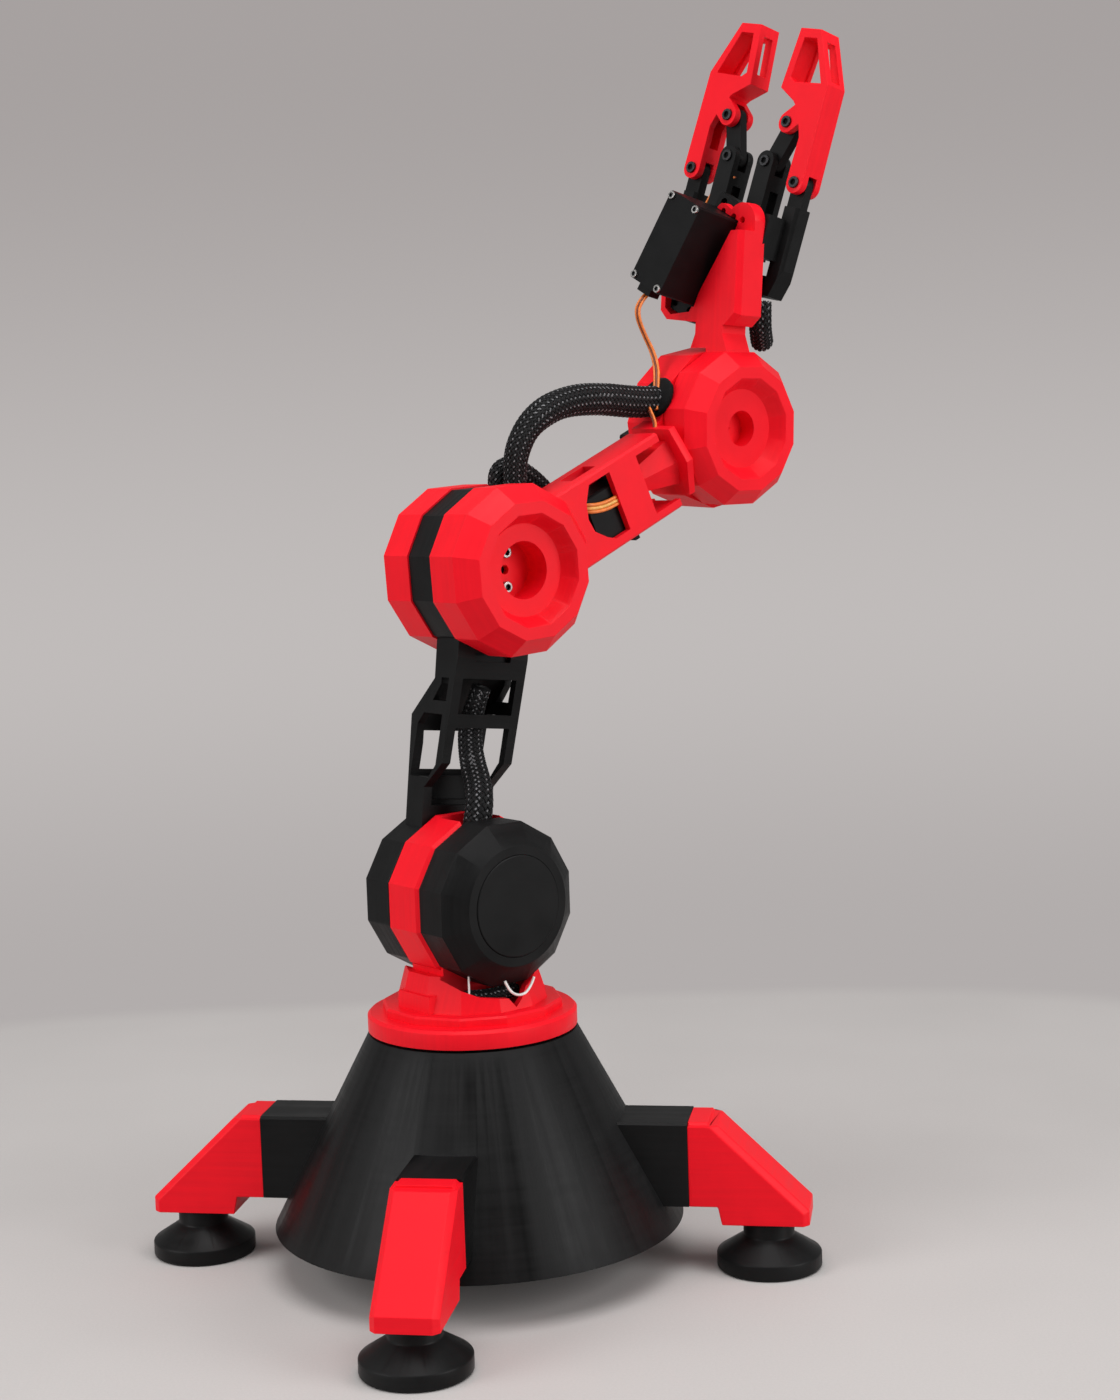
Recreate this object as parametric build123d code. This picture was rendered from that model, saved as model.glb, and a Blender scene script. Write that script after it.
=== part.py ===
from build123d import *
import math
import os

# Desktop robot arm: a cone base on four legs, a turntable, a leaning upper arm,
# a forearm with a rolling wrist, a hand and a two-finger gripper.
# Frame: origin on the floor under the waist axis, +Z up, the arm reaches
# towards +X and its joint axes lie along Y. All sizes are in millimetres.

# ---------------------------------------------------------------- pose and links
SHOULDER_HEIGHT = 152.0
UPPER_ARM_LENGTH = 133.0
FOREARM_LENGTH = 134.0
UPPER_ARM_LEAN = 6.7          # degrees from vertical, towards +X
FOREARM_RISE = 24.0           # degrees above horizontal
WRIST_ROLL = 3.0              # degrees about the forearm's own axis
HAND_PITCH = 3.0              # degrees from vertical, towards +X
GRIP_YAW, GRIP_PITCH, GRIP_ROLL = 4.0, 8.2, 9.5   # gripper against the palm

# ---------------------------------------------------------------- fits
RUN_GAP = 0.35                # between faces that turn past each other
BORE_GAP = 0.08               # radial, pin in a turning hole
SEAT_GAP = 0.3                # radial, housing round a servo or a drum's inside
WALL = 3.0                    # printed wall

# ---------------------------------------------------------------- base
CONE_BOTTOM_RADIUS = 84.0
CONE_TOP_RADIUS = 42.6
CONE_BOTTOM_Z = 18.7
SHOULDER_RISE = 54.5          # shoulder axis above the top of the cone
CONE_TOP_Z = SHOULDER_HEIGHT - SHOULDER_RISE
LUG_WIDTH = 26.0
LUG_REACH = 88.5
LUG_BOTTOM_Z = 27.7
LUG_TOP_Z = 62.0
LEG_NOSE = 136.5
LEG_BOTTOM_Z = 20.3
LEG_NOSE_Z = 26.5
LEG_COLLAR = 8.5
LEG_EDGE = 2.4
FOOT_CIRCLE = 119.2
FOOT_RADIUS = 21.2
FOOT_NECK_RADIUS = 10.3
FOOT_RIM = 6.3
FOOT_FLARE_TOP = 13.4
M4_RADIUS = 2.0
BASE_TURN = -3.7              # the base stands turned a little under the arm
LEG_ANGLES = {"rear_right": BASE_TURN + 45, "rear_left": BASE_TURN + 135,
              "front_left": BASE_TURN + 225, "front_right": BASE_TURN + 315}

# ---------------------------------------------------------------- turntable
DISC_RADIUS = 42.8
DISC_THICKNESS = 7.4
DISC_GAP = 1.2
STEP_RADIUS = 37.0
STEP_HEIGHT = 3.6
CUP_RADIUS = 31.0
CUP_DROP = 28.0               # rim of the cup below the shoulder axis
CUP_TOP_Z = SHOULDER_HEIGHT - CUP_DROP
RING_RADIUS = 34.6
RING_NEAR_Y = -11.3
RING_FAR_Y = 9.6
SHOULDER_DRUM_RADIUS = 33.5
SHOULDER_DRUM_HALF = 25.7
SHOULDER_FACE_Y = 33.0
SHOULDER_FACE_RADIUS = 24.2
CAP_RADIUS = 20.6

# ---------------------------------------------------------------- elbow and wrist drums
DRUM_RADIUS = 35.0
BAND_RADIUS = 34.2
BAND_NEAR_Y = -7.8
BAND_FAR_Y = 7.0
DRUM_HALF = 23.2
RIM_Y = 31.6
RIM_RADIUS = 28.0
RECESS_RADIUS = 23.0
BORE_RADIUS = 18.6
FLOOR_Y = 24.5
HUB_BORE_RADIUS = 11.6
HUB_Y = 12.0

# ---------------------------------------------------------------- servos
# length, width, height of the case, shaft from the nearer end, ear length, ear level, horn radius
STANDARD = (40.5, 20.0, 37.0, 10.1, 6.8, 27.0, 10.5)
LOW_PROFILE = (40.5, 20.0, 28.0, 10.1, 6.8, 18.5, 10.5)
MICRO = (23.0, 12.2, 27.0, 6.1, 4.7, 18.5, 6.0)
EAR_THICKNESS = 2.5
COVER_INSET = 1.9
COVER_SCREW = 0.8
HORN_START = 1.0
HORN_END = 4.2
SPLINE_RADIUS = 2.9
SPLINE_HEIGHT = 3.6
SPLINE_GAP = 0.05
SCREW_RADIUS = 1.5

# ---------------------------------------------------------------- upper arm
ARM_HALF_WIDTH = 17.8
ARM_WALL = 3.4
ARM_RAIL = 4.2
ARM_FOOT = 36.0               # lattice above the shoulder axis, from here
ARM_HEAD = 99.0               # to here
ELBOW_DROP = 34.0             # head of the lattice below the elbow axis

# ---------------------------------------------------------------- forearm
BOX_NEAR_Y = -19.0
BOX_FAR_Y = 0.0
BOX_HALF = 17.1
BOX_WALL = 3.0
BOX_SHORT = 42.0              # end of the box short of the wrist axis
BOX_END = FOREARM_LENGTH - BOX_SHORT
HEX_SHORT = 37.5              # flange of the wrist short of its axis
HEX_START = FOREARM_LENGTH - HEX_SHORT
ROLL_Y = -9.5
ROLL_Z = 1.8

# ---------------------------------------------------------------- wrist and hand
HOUSING_NEAR_Y = -8.6
HOUSING_FAR_Y = 12.0
HOUSING_FACE_Y = 20.5
HOUSING_RADIUS = 34.6
HAND_DRUM_RADIUS = 33.6
HAND_DRUM_NEAR_Y = -21.4
HAND_RIM_Y = -28.6
PALM_FRONT_X = -10.0
PALM_THICKNESS = 14.0
PALM_RIGHT_Y = -27.3
PALM_LEFT_Y = 20.4
PALM_BOTTOM = 46.5
PALM_SHOULDER = 83.0
PALM_TOP = 95.5
NECK_RIGHT_Y = -18.5
NECK_LEFT_Y = -2.0

# ---------------------------------------------------------------- gripper (gripper frame)
GRIP_ORIGIN = (0.0, 6.0, 60.0)
GRIP_FRONT = 6.5
FINGER_DEPTH = 12.0
LOBE = 3.4
LOWER_PIN = (30.8, 52.0)
MIDDLE_PIN = (17.6, 76.8)
JOINT_PIN = (11.2, 59.3)
SERVO_SHAFT = (0.0, 3.7)
SERVO_TILT = 15.8
SERVO_COVER_X = -31.5
LOBE_RADIUS = 4.6
LINK_RADIUS = 4.2
TIP_HEIGHT = 117.0
PIN_RADIUS = 1.5
FRAME_ARM_INNER = 26.0
FRAME_ARM_OUTER = 35.0
FRAME_ARM_TOP = 42.0
FRAME_BOTTOM = 3.0
PUSHER_PIN = 22.0
CRANK_RADIUS = 8.0

os.makedirs("parts", exist_ok=True)
built = {}


def save(name, shape):
    """Writes one node and keeps it for the summary at the end."""
    export_step(shape, f"parts/{name}.step")
    built[name] = shape


# ================================================================ frames
shoulder_frame = Location((0, 0, SHOULDER_HEIGHT)) * Rotation(0, UPPER_ARM_LEAN, 0)
elbow_point = (shoulder_frame * Location((0, 0, UPPER_ARM_LENGTH))).position
forearm_frame = Location(elbow_point) * Rotation(0, -FOREARM_RISE, 0)
roll_frame = forearm_frame * Location((0, ROLL_Y, ROLL_Z)) * Rotation(WRIST_ROLL, 0, 0)
wrist_frame = roll_frame * Location((FOREARM_LENGTH, -ROLL_Y, -ROLL_Z))
hand_frame = wrist_frame * Rotation(0, FOREARM_RISE + HAND_PITCH, 0)
grip_frame = hand_frame * Location(GRIP_ORIGIN) * Rotation(0, 0, GRIP_YAW) \
    * Rotation(0, GRIP_PITCH, 0) * Rotation(GRIP_ROLL, 0, 0)


# ================================================================ shared shapes
def disc_y(radius, y0, y1, x=0.0, z=0.0):
    """Round bar along Y from y0 to y1."""
    low, high = min(y0, y1), max(y0, y1)
    bar = Cylinder(radius, high - low, rotation=(-90, 0, 0), align=(Align.CENTER, Align.CENTER, Align.MIN))
    return Location((x, low, z)) * bar


def disc_x(radius, x0, x1, y=0.0, z=0.0):
    """Round bar along X from x0 to x1."""
    bar = Cylinder(radius, x1 - x0, rotation=(0, 90, 0), align=(Align.CENTER, Align.CENTER, Align.MIN))
    return Location((x0, y, z)) * bar


def disc_z(radius, z0, z1, x=0.0, y=0.0):
    """Round bar along Z from z0 to z1."""
    bar = Cylinder(radius, z1 - z0, align=(Align.CENTER, Align.CENTER, Align.MIN))
    return Location((x, y, z0)) * bar


def block(x0, x1, y0, y1, z0, z1):
    """Box between two corners."""
    box = Box(x1 - x0, y1 - y0, z1 - z0, align=(Align.MIN, Align.MIN, Align.MIN))
    return Location((x0, y0, z0)) * box


def facets_at(radius, y, turn):
    """Twelve-sided face in the plane at y, its corners on radius, turned by degrees from +X to +Z."""
    plane = Plane(origin=(0, y, 0), x_dir=(1, 0, 0), z_dir=(0, -1, 0))
    return plane * RegularPolygon(radius, 12, rotation=turn)


def drum(rings, turn):
    """Faceted drum about Y: a stack of frustums through (y, corner radius) rings."""
    body = None
    for (y0, r0), (y1, r1) in zip(rings, rings[1:]):
        step = loft([facets_at(r0, y0, turn), facets_at(r1, y1, turn)], ruled=True)
        body = step if body is None else body + step
    return body


def cone_y(y0, r0, y1, r1):
    """Round frustum about Y between two radii."""
    plane0 = Plane(origin=(0, y0, 0), x_dir=(1, 0, 0), z_dir=(0, -1, 0))
    plane1 = Plane(origin=(0, y1, 0), x_dir=(1, 0, 0), z_dir=(0, -1, 0))
    return loft([plane0 * Circle(r0), plane1 * Circle(r1)])


def plate_x(points, x0, x1):
    """Plate of the outline (y, z) points between x0 and x1."""
    plane = Plane(origin=(x0, 0, 0), x_dir=(0, 1, 0), z_dir=(1, 0, 0))
    return extrude(plane * Polygon(*points, align=None), x1 - x0, dir=(1, 0, 0))


def plate_y(points, y0, y1):
    """Plate of the outline (x, z) points between y0 and y1."""
    plane = Plane(origin=(0, y1, 0), x_dir=(1, 0, 0), z_dir=(0, -1, 0))
    return extrude(plane * Polygon(*points, align=None), y1 - y0, dir=(0, -1, 0))


def bar_x(p, q, radius, x0, x1):
    """Round-ended bar from p to q in (y, z), between x0 and x1."""
    length = math.hypot(q[0] - p[0], q[1] - p[1])
    plane = Plane(origin=(x0, 0, 0), x_dir=(0, 1, 0), z_dir=(1, 0, 0))
    angle = math.degrees(math.atan2(q[1] - p[1], q[0] - p[0]))
    middle = ((p[0] + q[0]) / 2, (p[1] + q[1]) / 2)
    slot = Location((middle[0], middle[1])) * Rotation(0, 0, angle) * SlotCenterToCenter(length, 2 * radius)
    return extrude(plane * slot, x1 - x0)


def servo(size):
    """Servo with its shaft up along +Z at the origin, top of the case at z=0, long side towards -X."""
    length, width, height, offset, ear, level, _ = size
    half = width / 2
    case = block(offset - length, offset, -half, half, -height, 0)
    case = chamfer(case.edges().filter_by(Axis.Z), 0.8)
    low = level - height
    ears = block(offset - length - ear, offset + ear, 0.8 - half, half - 0.8, low, low + EAR_THICKNESS)
    for x in (offset - length - ear / 2, offset + ear / 2):
        for y in (-half / 2, half / 2):
            ears -= disc_z(SCREW_RADIUS + 0.4, low - 1, low + EAR_THICKNESS + 1, x, y)
    return case + ears + disc_z(SPLINE_RADIUS, 0, SPLINE_HEIGHT)


def cover_places(size):
    """Where the four long screws enter the servo's cover."""
    length, width, height, offset = size[:4]
    middle = offset - length / 2
    span_x, span_y = length - 2 * COVER_INSET, width - 2 * COVER_INSET
    return [(middle + x, y, -height) for x in (-span_x / 2, span_x / 2) for y in (-span_y / 2, span_y / 2)]


def servo_room(size, gap=SEAT_GAP, front=1.0, back=0.0):
    """The room a servo case needs, with extra depth in front of it and behind it."""
    length, width, height, offset = size[:4]
    half = width / 2 + gap
    return block(offset - length - gap, offset + gap, -half, half, -height - back, front)


def ear_room(size, gap=SEAT_GAP, front=0.0, back=0.0):
    """The room the mounting ears need, with extra depth in front of them and behind them."""
    length, width, height, offset, ear, level, _ = size
    half = width / 2 + gap
    low = level - height
    return block(offset - length - ear - gap, offset + ear + gap, -half, half,
                 low - gap - back, low + EAR_THICKNESS + gap + front)


def horn(size):
    """Round horn on the spline."""
    disc = disc_z(size[6], HORN_START, HORN_END)
    return disc - disc_z(SPLINE_RADIUS + SPLINE_GAP, 0, SPLINE_HEIGHT + SPLINE_GAP)


def pan_screw(length):
    """Pan head screw along +Z: the head's underside at z=0, the shank below."""
    head = disc_z(2 * SCREW_RADIUS - 0.2, 0, 1.7)
    head = chamfer(head.edges().group_by(Axis.Z)[-1], 0.5)
    return head + disc_z(SCREW_RADIUS, -length, 0)


def cord(points, diameter):
    """Cable along straight runs joined by the widest arcs that they allow."""
    corners = [Vector(*point) for point in points]
    radii = []
    for before, corner, after in zip(corners, corners[1:], corners[2:]):
        into, out = corner - before, after - corner
        half_turn = math.radians(into.get_angle(out)) / 2
        radii.append(0.45 * min(into.length, out.length) / math.tan(half_turn))
    path = FilletPolyline(*points, radius=radii)
    start = Plane(origin=path @ 0, z_dir=path % 0)
    tube = sweep(start * Circle(diameter / 2), path=path)
    print(f"cord {path.length:6.1f} mm, arcs {min(radii):.1f} to {max(radii):.1f}, "
          f"volume / tube {tube.volume / (path.length * math.pi * diameter ** 2 / 4):.4f}")
    return tube


# ================================================================ base
WAIST_SERVO_TOP = CONE_TOP_Z - HORN_END - 0.6


def make_base_cone():
    """Hollow cone with four lugs for the legs and hangers for the waist servo."""
    height = CONE_TOP_Z - CONE_BOTTOM_Z
    align = (Align.CENTER, Align.CENTER, Align.MIN)
    shell = Location((0, 0, CONE_BOTTOM_Z)) * Cone(CONE_BOTTOM_RADIUS, CONE_TOP_RADIUS, height, align=align)
    lugs = None
    for angle in LEG_ANGLES.values():
        lug = block(CONE_TOP_RADIUS, LUG_REACH, -LUG_WIDTH / 2, LUG_WIDTH / 2, LUG_BOTTOM_Z, LUG_TOP_Z)
        lug = chamfer(lug.edges().filter_by(Axis.X).group_by(Axis.Z)[-1], 1.0)
        lug = Rotation(0, 0, angle) * lug
        lugs = lug if lugs is None else lugs + lug
    inside = Location((0, 0, CONE_BOTTOM_Z - 0.01)) * Cone(
        CONE_BOTTOM_RADIUS - WALL, CONE_TOP_RADIUS - WALL, height - WALL, align=align)
    body = shell + lugs - inside
    length, width, case, offset, ear, level, _ = STANDARD
    ear_top = WAIST_SERVO_TOP - case + level + EAR_THICKNESS
    clear = STANDARD[6] + 1.0
    for x0, x1 in ((clear, offset + ear), (offset - length - ear, offset - length - SEAT_GAP)):
        body += block(x0, x1, -width / 2, width / 2, ear_top, CONE_TOP_Z - WALL)
    body -= disc_z(clear, CONE_TOP_Z - 2 * WALL, CONE_TOP_Z + 1)
    for angle in LEG_ANGLES.values():
        body -= Rotation(0, 0, angle) * disc_x(M4_RADIUS + BORE_GAP, 50, LUG_REACH + 1, 0, LEG_BOLT_Z)
    return body


LEG_BOLT_Z = 52.0
LEG_BOLT_GRIP = 5.0


def make_leg():
    """Leg bracket along +X: collar, sloping back, nose and the pad for its foot."""
    half = LUG_WIDTH / 2
    inner = LUG_REACH
    collar = inner + LEG_COLLAR
    outline = [(inner, LUG_BOTTOM_Z), (inner, LUG_TOP_Z - 1.2), (collar + 3.5, LUG_TOP_Z - 1.2),
               (LEG_NOSE, LEG_NOSE_Z), (LEG_NOSE, LEG_BOTTOM_Z), (collar + 4.5, LEG_BOTTOM_Z),
               (collar + 3.0, LUG_BOTTOM_Z)]
    body = plate_y(outline, -half, half)
    slope = [e for e in body.edges() if abs(abs(e.center().Y) - half) < 0.01 and e.center().X > collar + 4
             and e.center().Z > LEG_BOTTOM_Z + 2]
    body = chamfer(slope, LEG_EDGE)
    ridge = [(inner, LUG_BOTTOM_Z), (inner, LUG_TOP_Z), (collar, LUG_TOP_Z), (collar, LUG_BOTTOM_Z)]
    rib = plate_y(ridge, -half, half)
    rib = chamfer(rib.edges().filter_by(Axis.X).group_by(Axis.Z)[-1], LEG_EDGE)
    body += rib
    body -= disc_z(M4_RADIUS + BORE_GAP, LEG_BOTTOM_Z - 1, LEG_BOTTOM_Z + 12, FOOT_CIRCLE)
    body -= disc_x(M4_RADIUS + BORE_GAP, inner - 1, collar + LEG_BOLT_GRIP + 1, 0, LEG_BOLT_Z)
    return body


def make_foot():
    """Turned foot: rim, flare and neck, with the hole for its screw."""
    outline = [(0, 0), (FOOT_RADIUS - 0.8, 0), (FOOT_RADIUS, 0.8), (FOOT_RADIUS, FOOT_RIM),
               (FOOT_NECK_RADIUS, FOOT_FLARE_TOP), (FOOT_NECK_RADIUS, LEG_BOTTOM_Z), (0, LEG_BOTTOM_Z)]
    body = revolve(Plane.XZ * Polygon(*outline, align=None), Axis.Z)
    body -= disc_z(M4_RADIUS, 3.0, LEG_BOTTOM_Z + 1)
    return Location((FOOT_CIRCLE, 0, 0)) * body


def make_base():
    """Writes the parts that stand on the floor."""
    save("base_cone", make_base_cone())
    leg = make_leg()
    foot = make_foot()
    foot_screws = []
    leg_bolts = []
    for name, angle in LEG_ANGLES.items():
        save(f"leg_{name}", Rotation(0, 0, angle) * leg)
        save(f"foot_{name}", Rotation(0, 0, angle) * foot)
        foot_screws.append(Rotation(0, 0, angle) * disc_z(M4_RADIUS, 3.0, LEG_BOTTOM_Z + 11.5, FOOT_CIRCLE))
        leg_bolts.append(Rotation(0, 0, angle) * disc_x(M4_RADIUS, 62, LUG_REACH + LEG_COLLAR + LEG_BOLT_GRIP, 0, LEG_BOLT_Z))
    save("foot_screws", Compound(children=foot_screws))
    save("leg_bolts", Compound(children=leg_bolts))
    save("waist_servo", Location((0, 0, WAIST_SERVO_TOP)) * servo(STANDARD))
    ring = disc_z(DISC_RADIUS - 3, CONE_TOP_Z, CONE_TOP_Z + DISC_GAP - RUN_GAP)
    save("waist_thrust_ring", ring - disc_z(DISC_RADIUS - 9, CONE_TOP_Z - 1, CONE_TOP_Z + 3))


# ================================================================ turntable and shoulder
SHOULDER_TURN = 15.0
CUP_RIM = [(x, SHOULDER_HEIGHT - drop) for x, drop in
           ((-27, 26), (-20, 33), (-14, 36), (-3, 37.5), (0, 41.4), (3.5, 38.5), (12, 26))]
SHOULDER_SERVO_TOP = RING_FAR_Y + RUN_GAP - HORN_END
SHOULDER_SERVO = Location((0, SHOULDER_SERVO_TOP, SHOULDER_HEIGHT)) * Rotation(-90, 0, 0) * Rotation(0, 0, -90)


def cup_shape(bottom, low_radius, high_radius):
    """Tapering twelve-sided block from bottom up to the rim of the cup."""
    face = RegularPolygon(low_radius, 12, rotation=SHOULDER_TURN)
    top = RegularPolygon(high_radius, 12, rotation=SHOULDER_TURN)
    return loft([Location((0, 0, bottom)) * face, Location((0, 0, CUP_TOP_Z)) * top], ruled=True)


def make_turntable():
    """Round disc, faceted step, open cup and the ring that holds the shoulder servo."""
    z0 = CONE_TOP_Z + DISC_GAP
    z1 = z0 + DISC_THICKNESS
    disc = disc_z(DISC_RADIUS, z0, z1)
    disc = chamfer(disc.edges().group_by(Axis.Z)[-1], 1.2)
    hub = disc_z(STANDARD[6], WAIST_SERVO_TOP + HORN_END, z0)
    step_face = Location((0, 0, z1)) * RegularPolygon(STEP_RADIUS, 12, rotation=SHOULDER_TURN)
    step = extrude(step_face, STEP_HEIGHT)
    step = chamfer(step.edges().group_by(Axis.Z)[-1], 0.8)
    z2 = z1 + STEP_HEIGHT
    outer = cup_shape(z2, CUP_RADIUS, CUP_RADIUS - 4)
    inner = cup_shape(z2 + 1, CUP_RADIUS - WALL, CUP_RADIUS - WALL - 4) & block(-40, 40, -40, RING_NEAR_Y, z2 + 1, CUP_TOP_Z)
    cup = outer - inner
    cup -= disc_y(SHOULDER_DRUM_RADIUS + 1.2, -60, RING_NEAR_Y, 0, SHOULDER_HEIGHT)
    cup -= disc_y(SHOULDER_DRUM_RADIUS + 1.2, RING_FAR_Y, 60, 0, SHOULDER_HEIGHT)
    cup -= plate_y(CUP_RIM, -60, RING_NEAR_Y)
    edge = [(x, SHOULDER_HEIGHT - drop) for x, drop in
            ((-29.5, 35.5), (-21.5, 34.5), (-22.5, 22), (22, 22), (27, 35))]
    web = plate_y([(-30, z2 - 1), *edge, (30, z2 - 1)], RING_NEAR_Y, RING_FAR_Y)
    ring = Location((0, 0, SHOULDER_HEIGHT)) * drum(
        [(RING_NEAR_Y, RING_RADIUS - 1.6), (RING_NEAR_Y + 1.6, RING_RADIUS),
         (RING_FAR_Y - 1.6, RING_RADIUS), (RING_FAR_Y, RING_RADIUS - 1.6)], SHOULDER_TURN)
    body = disc + hub + step + cup + web + ring
    body -= Location((0, 0, SHOULDER_HEIGHT)) * disc_y(RING_RADIUS - 6.5, RING_NEAR_Y - 1, RING_FAR_Y + 1)
    body -= SHOULDER_SERVO * servo_room(LOW_PROFILE, back=8)
    body -= SHOULDER_SERVO * ear_room(LOW_PROFILE)
    body -= block(-CABLE_SLOT / 2, CABLE_SLOT / 2, RING_NEAR_Y - 1, RING_FAR_Y - 6,
                  SHOULDER_HEIGHT + 20, SHOULDER_HEIGHT + 40)
    return body


CABLE_SLOT = 20.0


def make_shoulder_cover():
    """Near drum of the shoulder, a cover over the servo, with a round opening for its cap."""
    outer = drum([(RING_NEAR_Y, SHOULDER_DRUM_RADIUS), (-SHOULDER_DRUM_HALF, SHOULDER_DRUM_RADIUS)], SHOULDER_TURN)
    plane = Plane(origin=(0, -SHOULDER_FACE_Y, 0), x_dir=(1, 0, 0), z_dir=(0, -1, 0))
    outer += loft([facets_at(SHOULDER_DRUM_RADIUS, -SHOULDER_DRUM_HALF, SHOULDER_TURN),
                   plane * Circle(SHOULDER_FACE_RADIUS)], ruled=True)
    inner = disc_y(SHOULDER_DRUM_RADIUS - 1.5 * WALL, RING_NEAR_Y + 1, -SHOULDER_DRUM_HALF + 1)
    inner += cone_y(-SHOULDER_DRUM_HALF + 1.01, SHOULDER_DRUM_RADIUS - 1.5 * WALL,
                    WALL - SHOULDER_FACE_Y, SHOULDER_FACE_RADIUS - WALL)
    body = Location((0, 0, SHOULDER_HEIGHT)) * (outer - inner)
    body -= Location((0, 0, SHOULDER_HEIGHT)) * disc_y(CAP_RADIUS, -SHOULDER_FACE_Y - 1, -SHOULDER_FACE_Y + 2 * WALL)
    body -= SHOULDER_SERVO * servo_room(LOW_PROFILE)
    return body


def make_shoulder_cap():
    """Plain round cap let into the near drum's face."""
    return Location((0, 0, SHOULDER_HEIGHT)) * disc_y(CAP_RADIUS - 0.15, -SHOULDER_FACE_Y - 0.4, WALL - SHOULDER_FACE_Y)


SLEEVE_BASE = [(-15.0, -16.0, 114.7), (-8.0, -19.0, 114.5), (1.0, -19.6, 114.7), (8.5, -17.4, 114.5)]
WIRE_LOOP = [(-5.5, -29.8, 122.2), (-4.2, -30.6, 118.0), (0.5, -31.0, 115.2), (6.0, -30.8, 116.6), (9.2, -29.8, 121.4)]


def make_turntable_group():
    save("turntable", make_turntable())
    save("waist_horn", Location((0, 0, WAIST_SERVO_TOP)) * horn(STANDARD))
    save("shoulder_servo", SHOULDER_SERVO * servo(LOW_PROFILE))
    save("shoulder_cover", make_shoulder_cover())
    save("shoulder_cap", make_shoulder_cap())
    save("sleeve_base", cord(SLEEVE_BASE, 6.0))
    save("wire_loop", cord(WIRE_LOOP, 1.6))


# ================================================================ upper arm (shoulder frame)
ELBOW_TURN = 25.2
ELBOW_SERVO_TOP = HORN_END - HUB_Y + WALL
ELBOW_SERVO = Location((0, ELBOW_SERVO_TOP, UPPER_ARM_LENGTH)) * Rotation(90, 0, 0) * Rotation(0, 0, 90)


def reach(height):
    """A height in the lattice, which takes up all the change when the upper arm is made longer."""
    share = (height - ARM_FOOT) / (ARM_HEAD - ARM_FOOT)
    return height + (UPPER_ARM_LENGTH - ELBOW_DROP - ARM_HEAD) * min(max(share, 0.0), 1.0)


ARM_NEAR_EDGE = [(-7.8, reach(112.0)), (-7.8, reach(97.0)), (-1.0, reach(54.0)), (10.3, reach(43.5)), (10.3, 20.0)]
ARM_FAR_EDGE = [(21.6, 20.0), (21.6, reach(72.5)), (7.0, reach(88.0)), (7.0, reach(112.0))]


def inset_profile(near, far, wall):
    """The (y, z) outline moved inwards by wall on both long edges."""
    moved = [(y + wall, z) for y, z in near]
    moved += [(y - wall, z) for y, z in far]
    return moved


def far_shoulder_outline():
    """Faceted outline of the far shoulder drum, which the arm's foot is cut to fit."""
    return drum([(RING_FAR_Y + RUN_GAP, SHOULDER_DRUM_RADIUS), (SHOULDER_DRUM_HALF, SHOULDER_DRUM_RADIUS),
                 (SHOULDER_FACE_Y, SHOULDER_FACE_RADIUS)], SHOULDER_TURN + UPPER_ARM_LEAN)


def make_upper_arm():
    """Lattice arm: an S-shaped box between the far shoulder drum and the black elbow band."""
    half = ARM_HALF_WIDTH
    body = plate_x(ARM_NEAR_EDGE + ARM_FAR_EDGE, -half, half)
    hollow = plate_x(inset_profile(ARM_NEAR_EDGE, ARM_FAR_EDGE, ARM_WALL), ARM_WALL - half, half - ARM_WALL)
    hollow &= block(-half, half, -20, 40, reach(38.0), reach(96.0))
    body -= hollow
    # windows through the two side plates
    upper = [(-2.6, 88.5), (2.4, 88.5), (2.4, 86.0), (7.5, 79.0), (-1.3, 79.0)]
    lower = [(0.6, 73.6), (13.0, 73.6), (17.0, 69.0), (20.2, 47.5), (8.0, 47.5), (3.4, 53.0)]
    for window in (upper, lower):
        body -= plate_x([(y, reach(z)) for y, z in window], -half - 1, half + 1)
    # openings in the near wall, one above and one below the crossbar
    inner = half - ARM_RAIL
    body -= block(-inner, inner, -12, 2.5, reach(74.0), reach(88.5))
    body -= block(-inner, inner, -12, 14.0, ARM_FOOT, reach(68.5))
    # openings in the far wall, with a slanting bar left between them
    body -= block(-inner, inner, 17, 40, reach(50.0), reach(66.0))
    body -= block(-9, 9, -12, -5.0, reach(95.6), reach(99.0))
    band = Location((0, 0, UPPER_ARM_LENGTH)) * drum(
        [(BAND_NEAR_Y, BAND_RADIUS), (BAND_FAR_Y, BAND_RADIUS)], ELBOW_TURN)
    body += band
    body -= far_shoulder_outline()
    body -= Location((0, 0, UPPER_ARM_LENGTH)) * disc_y(BAND_RADIUS - 8.5, BAND_NEAR_Y - 1, BAND_FAR_Y + 1)
    body -= ELBOW_SERVO * servo_room(LOW_PROFILE, back=4)
    body -= ELBOW_SERVO * ear_room(LOW_PROFILE)
    return body


def make_far_shoulder_drum():
    """Far drum of the shoulder: turned by the servo horn, it carries the upper arm."""
    start = RING_FAR_Y + RUN_GAP
    body = far_shoulder_outline()
    body -= disc_y(SHOULDER_DRUM_RADIUS - 2 * WALL, start + WALL, SHOULDER_DRUM_HALF)
    keep = disc_y(STANDARD[6], start, start + 6)
    body += keep
    return body


SLEEVE_UPPER = [(0.5, -0.4, 85.0), (0.0, 3.0, 77.0), (0.5, 6.4, 66.0), (2.5, 5.5, 53.0), (4.0, 1.0, 43.0)]


def make_upper_arm_group():
    place = shoulder_frame
    save("shoulder_far_drum", place * make_far_shoulder_drum())
    save("upper_arm", place * make_upper_arm())
    save("shoulder_horn", SHOULDER_SERVO * horn(LOW_PROFILE))
    save("elbow_servo", place * ELBOW_SERVO * servo(LOW_PROFILE))
    save("sleeve_upper", place * cord(SLEEVE_UPPER, 9.0))


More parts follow.
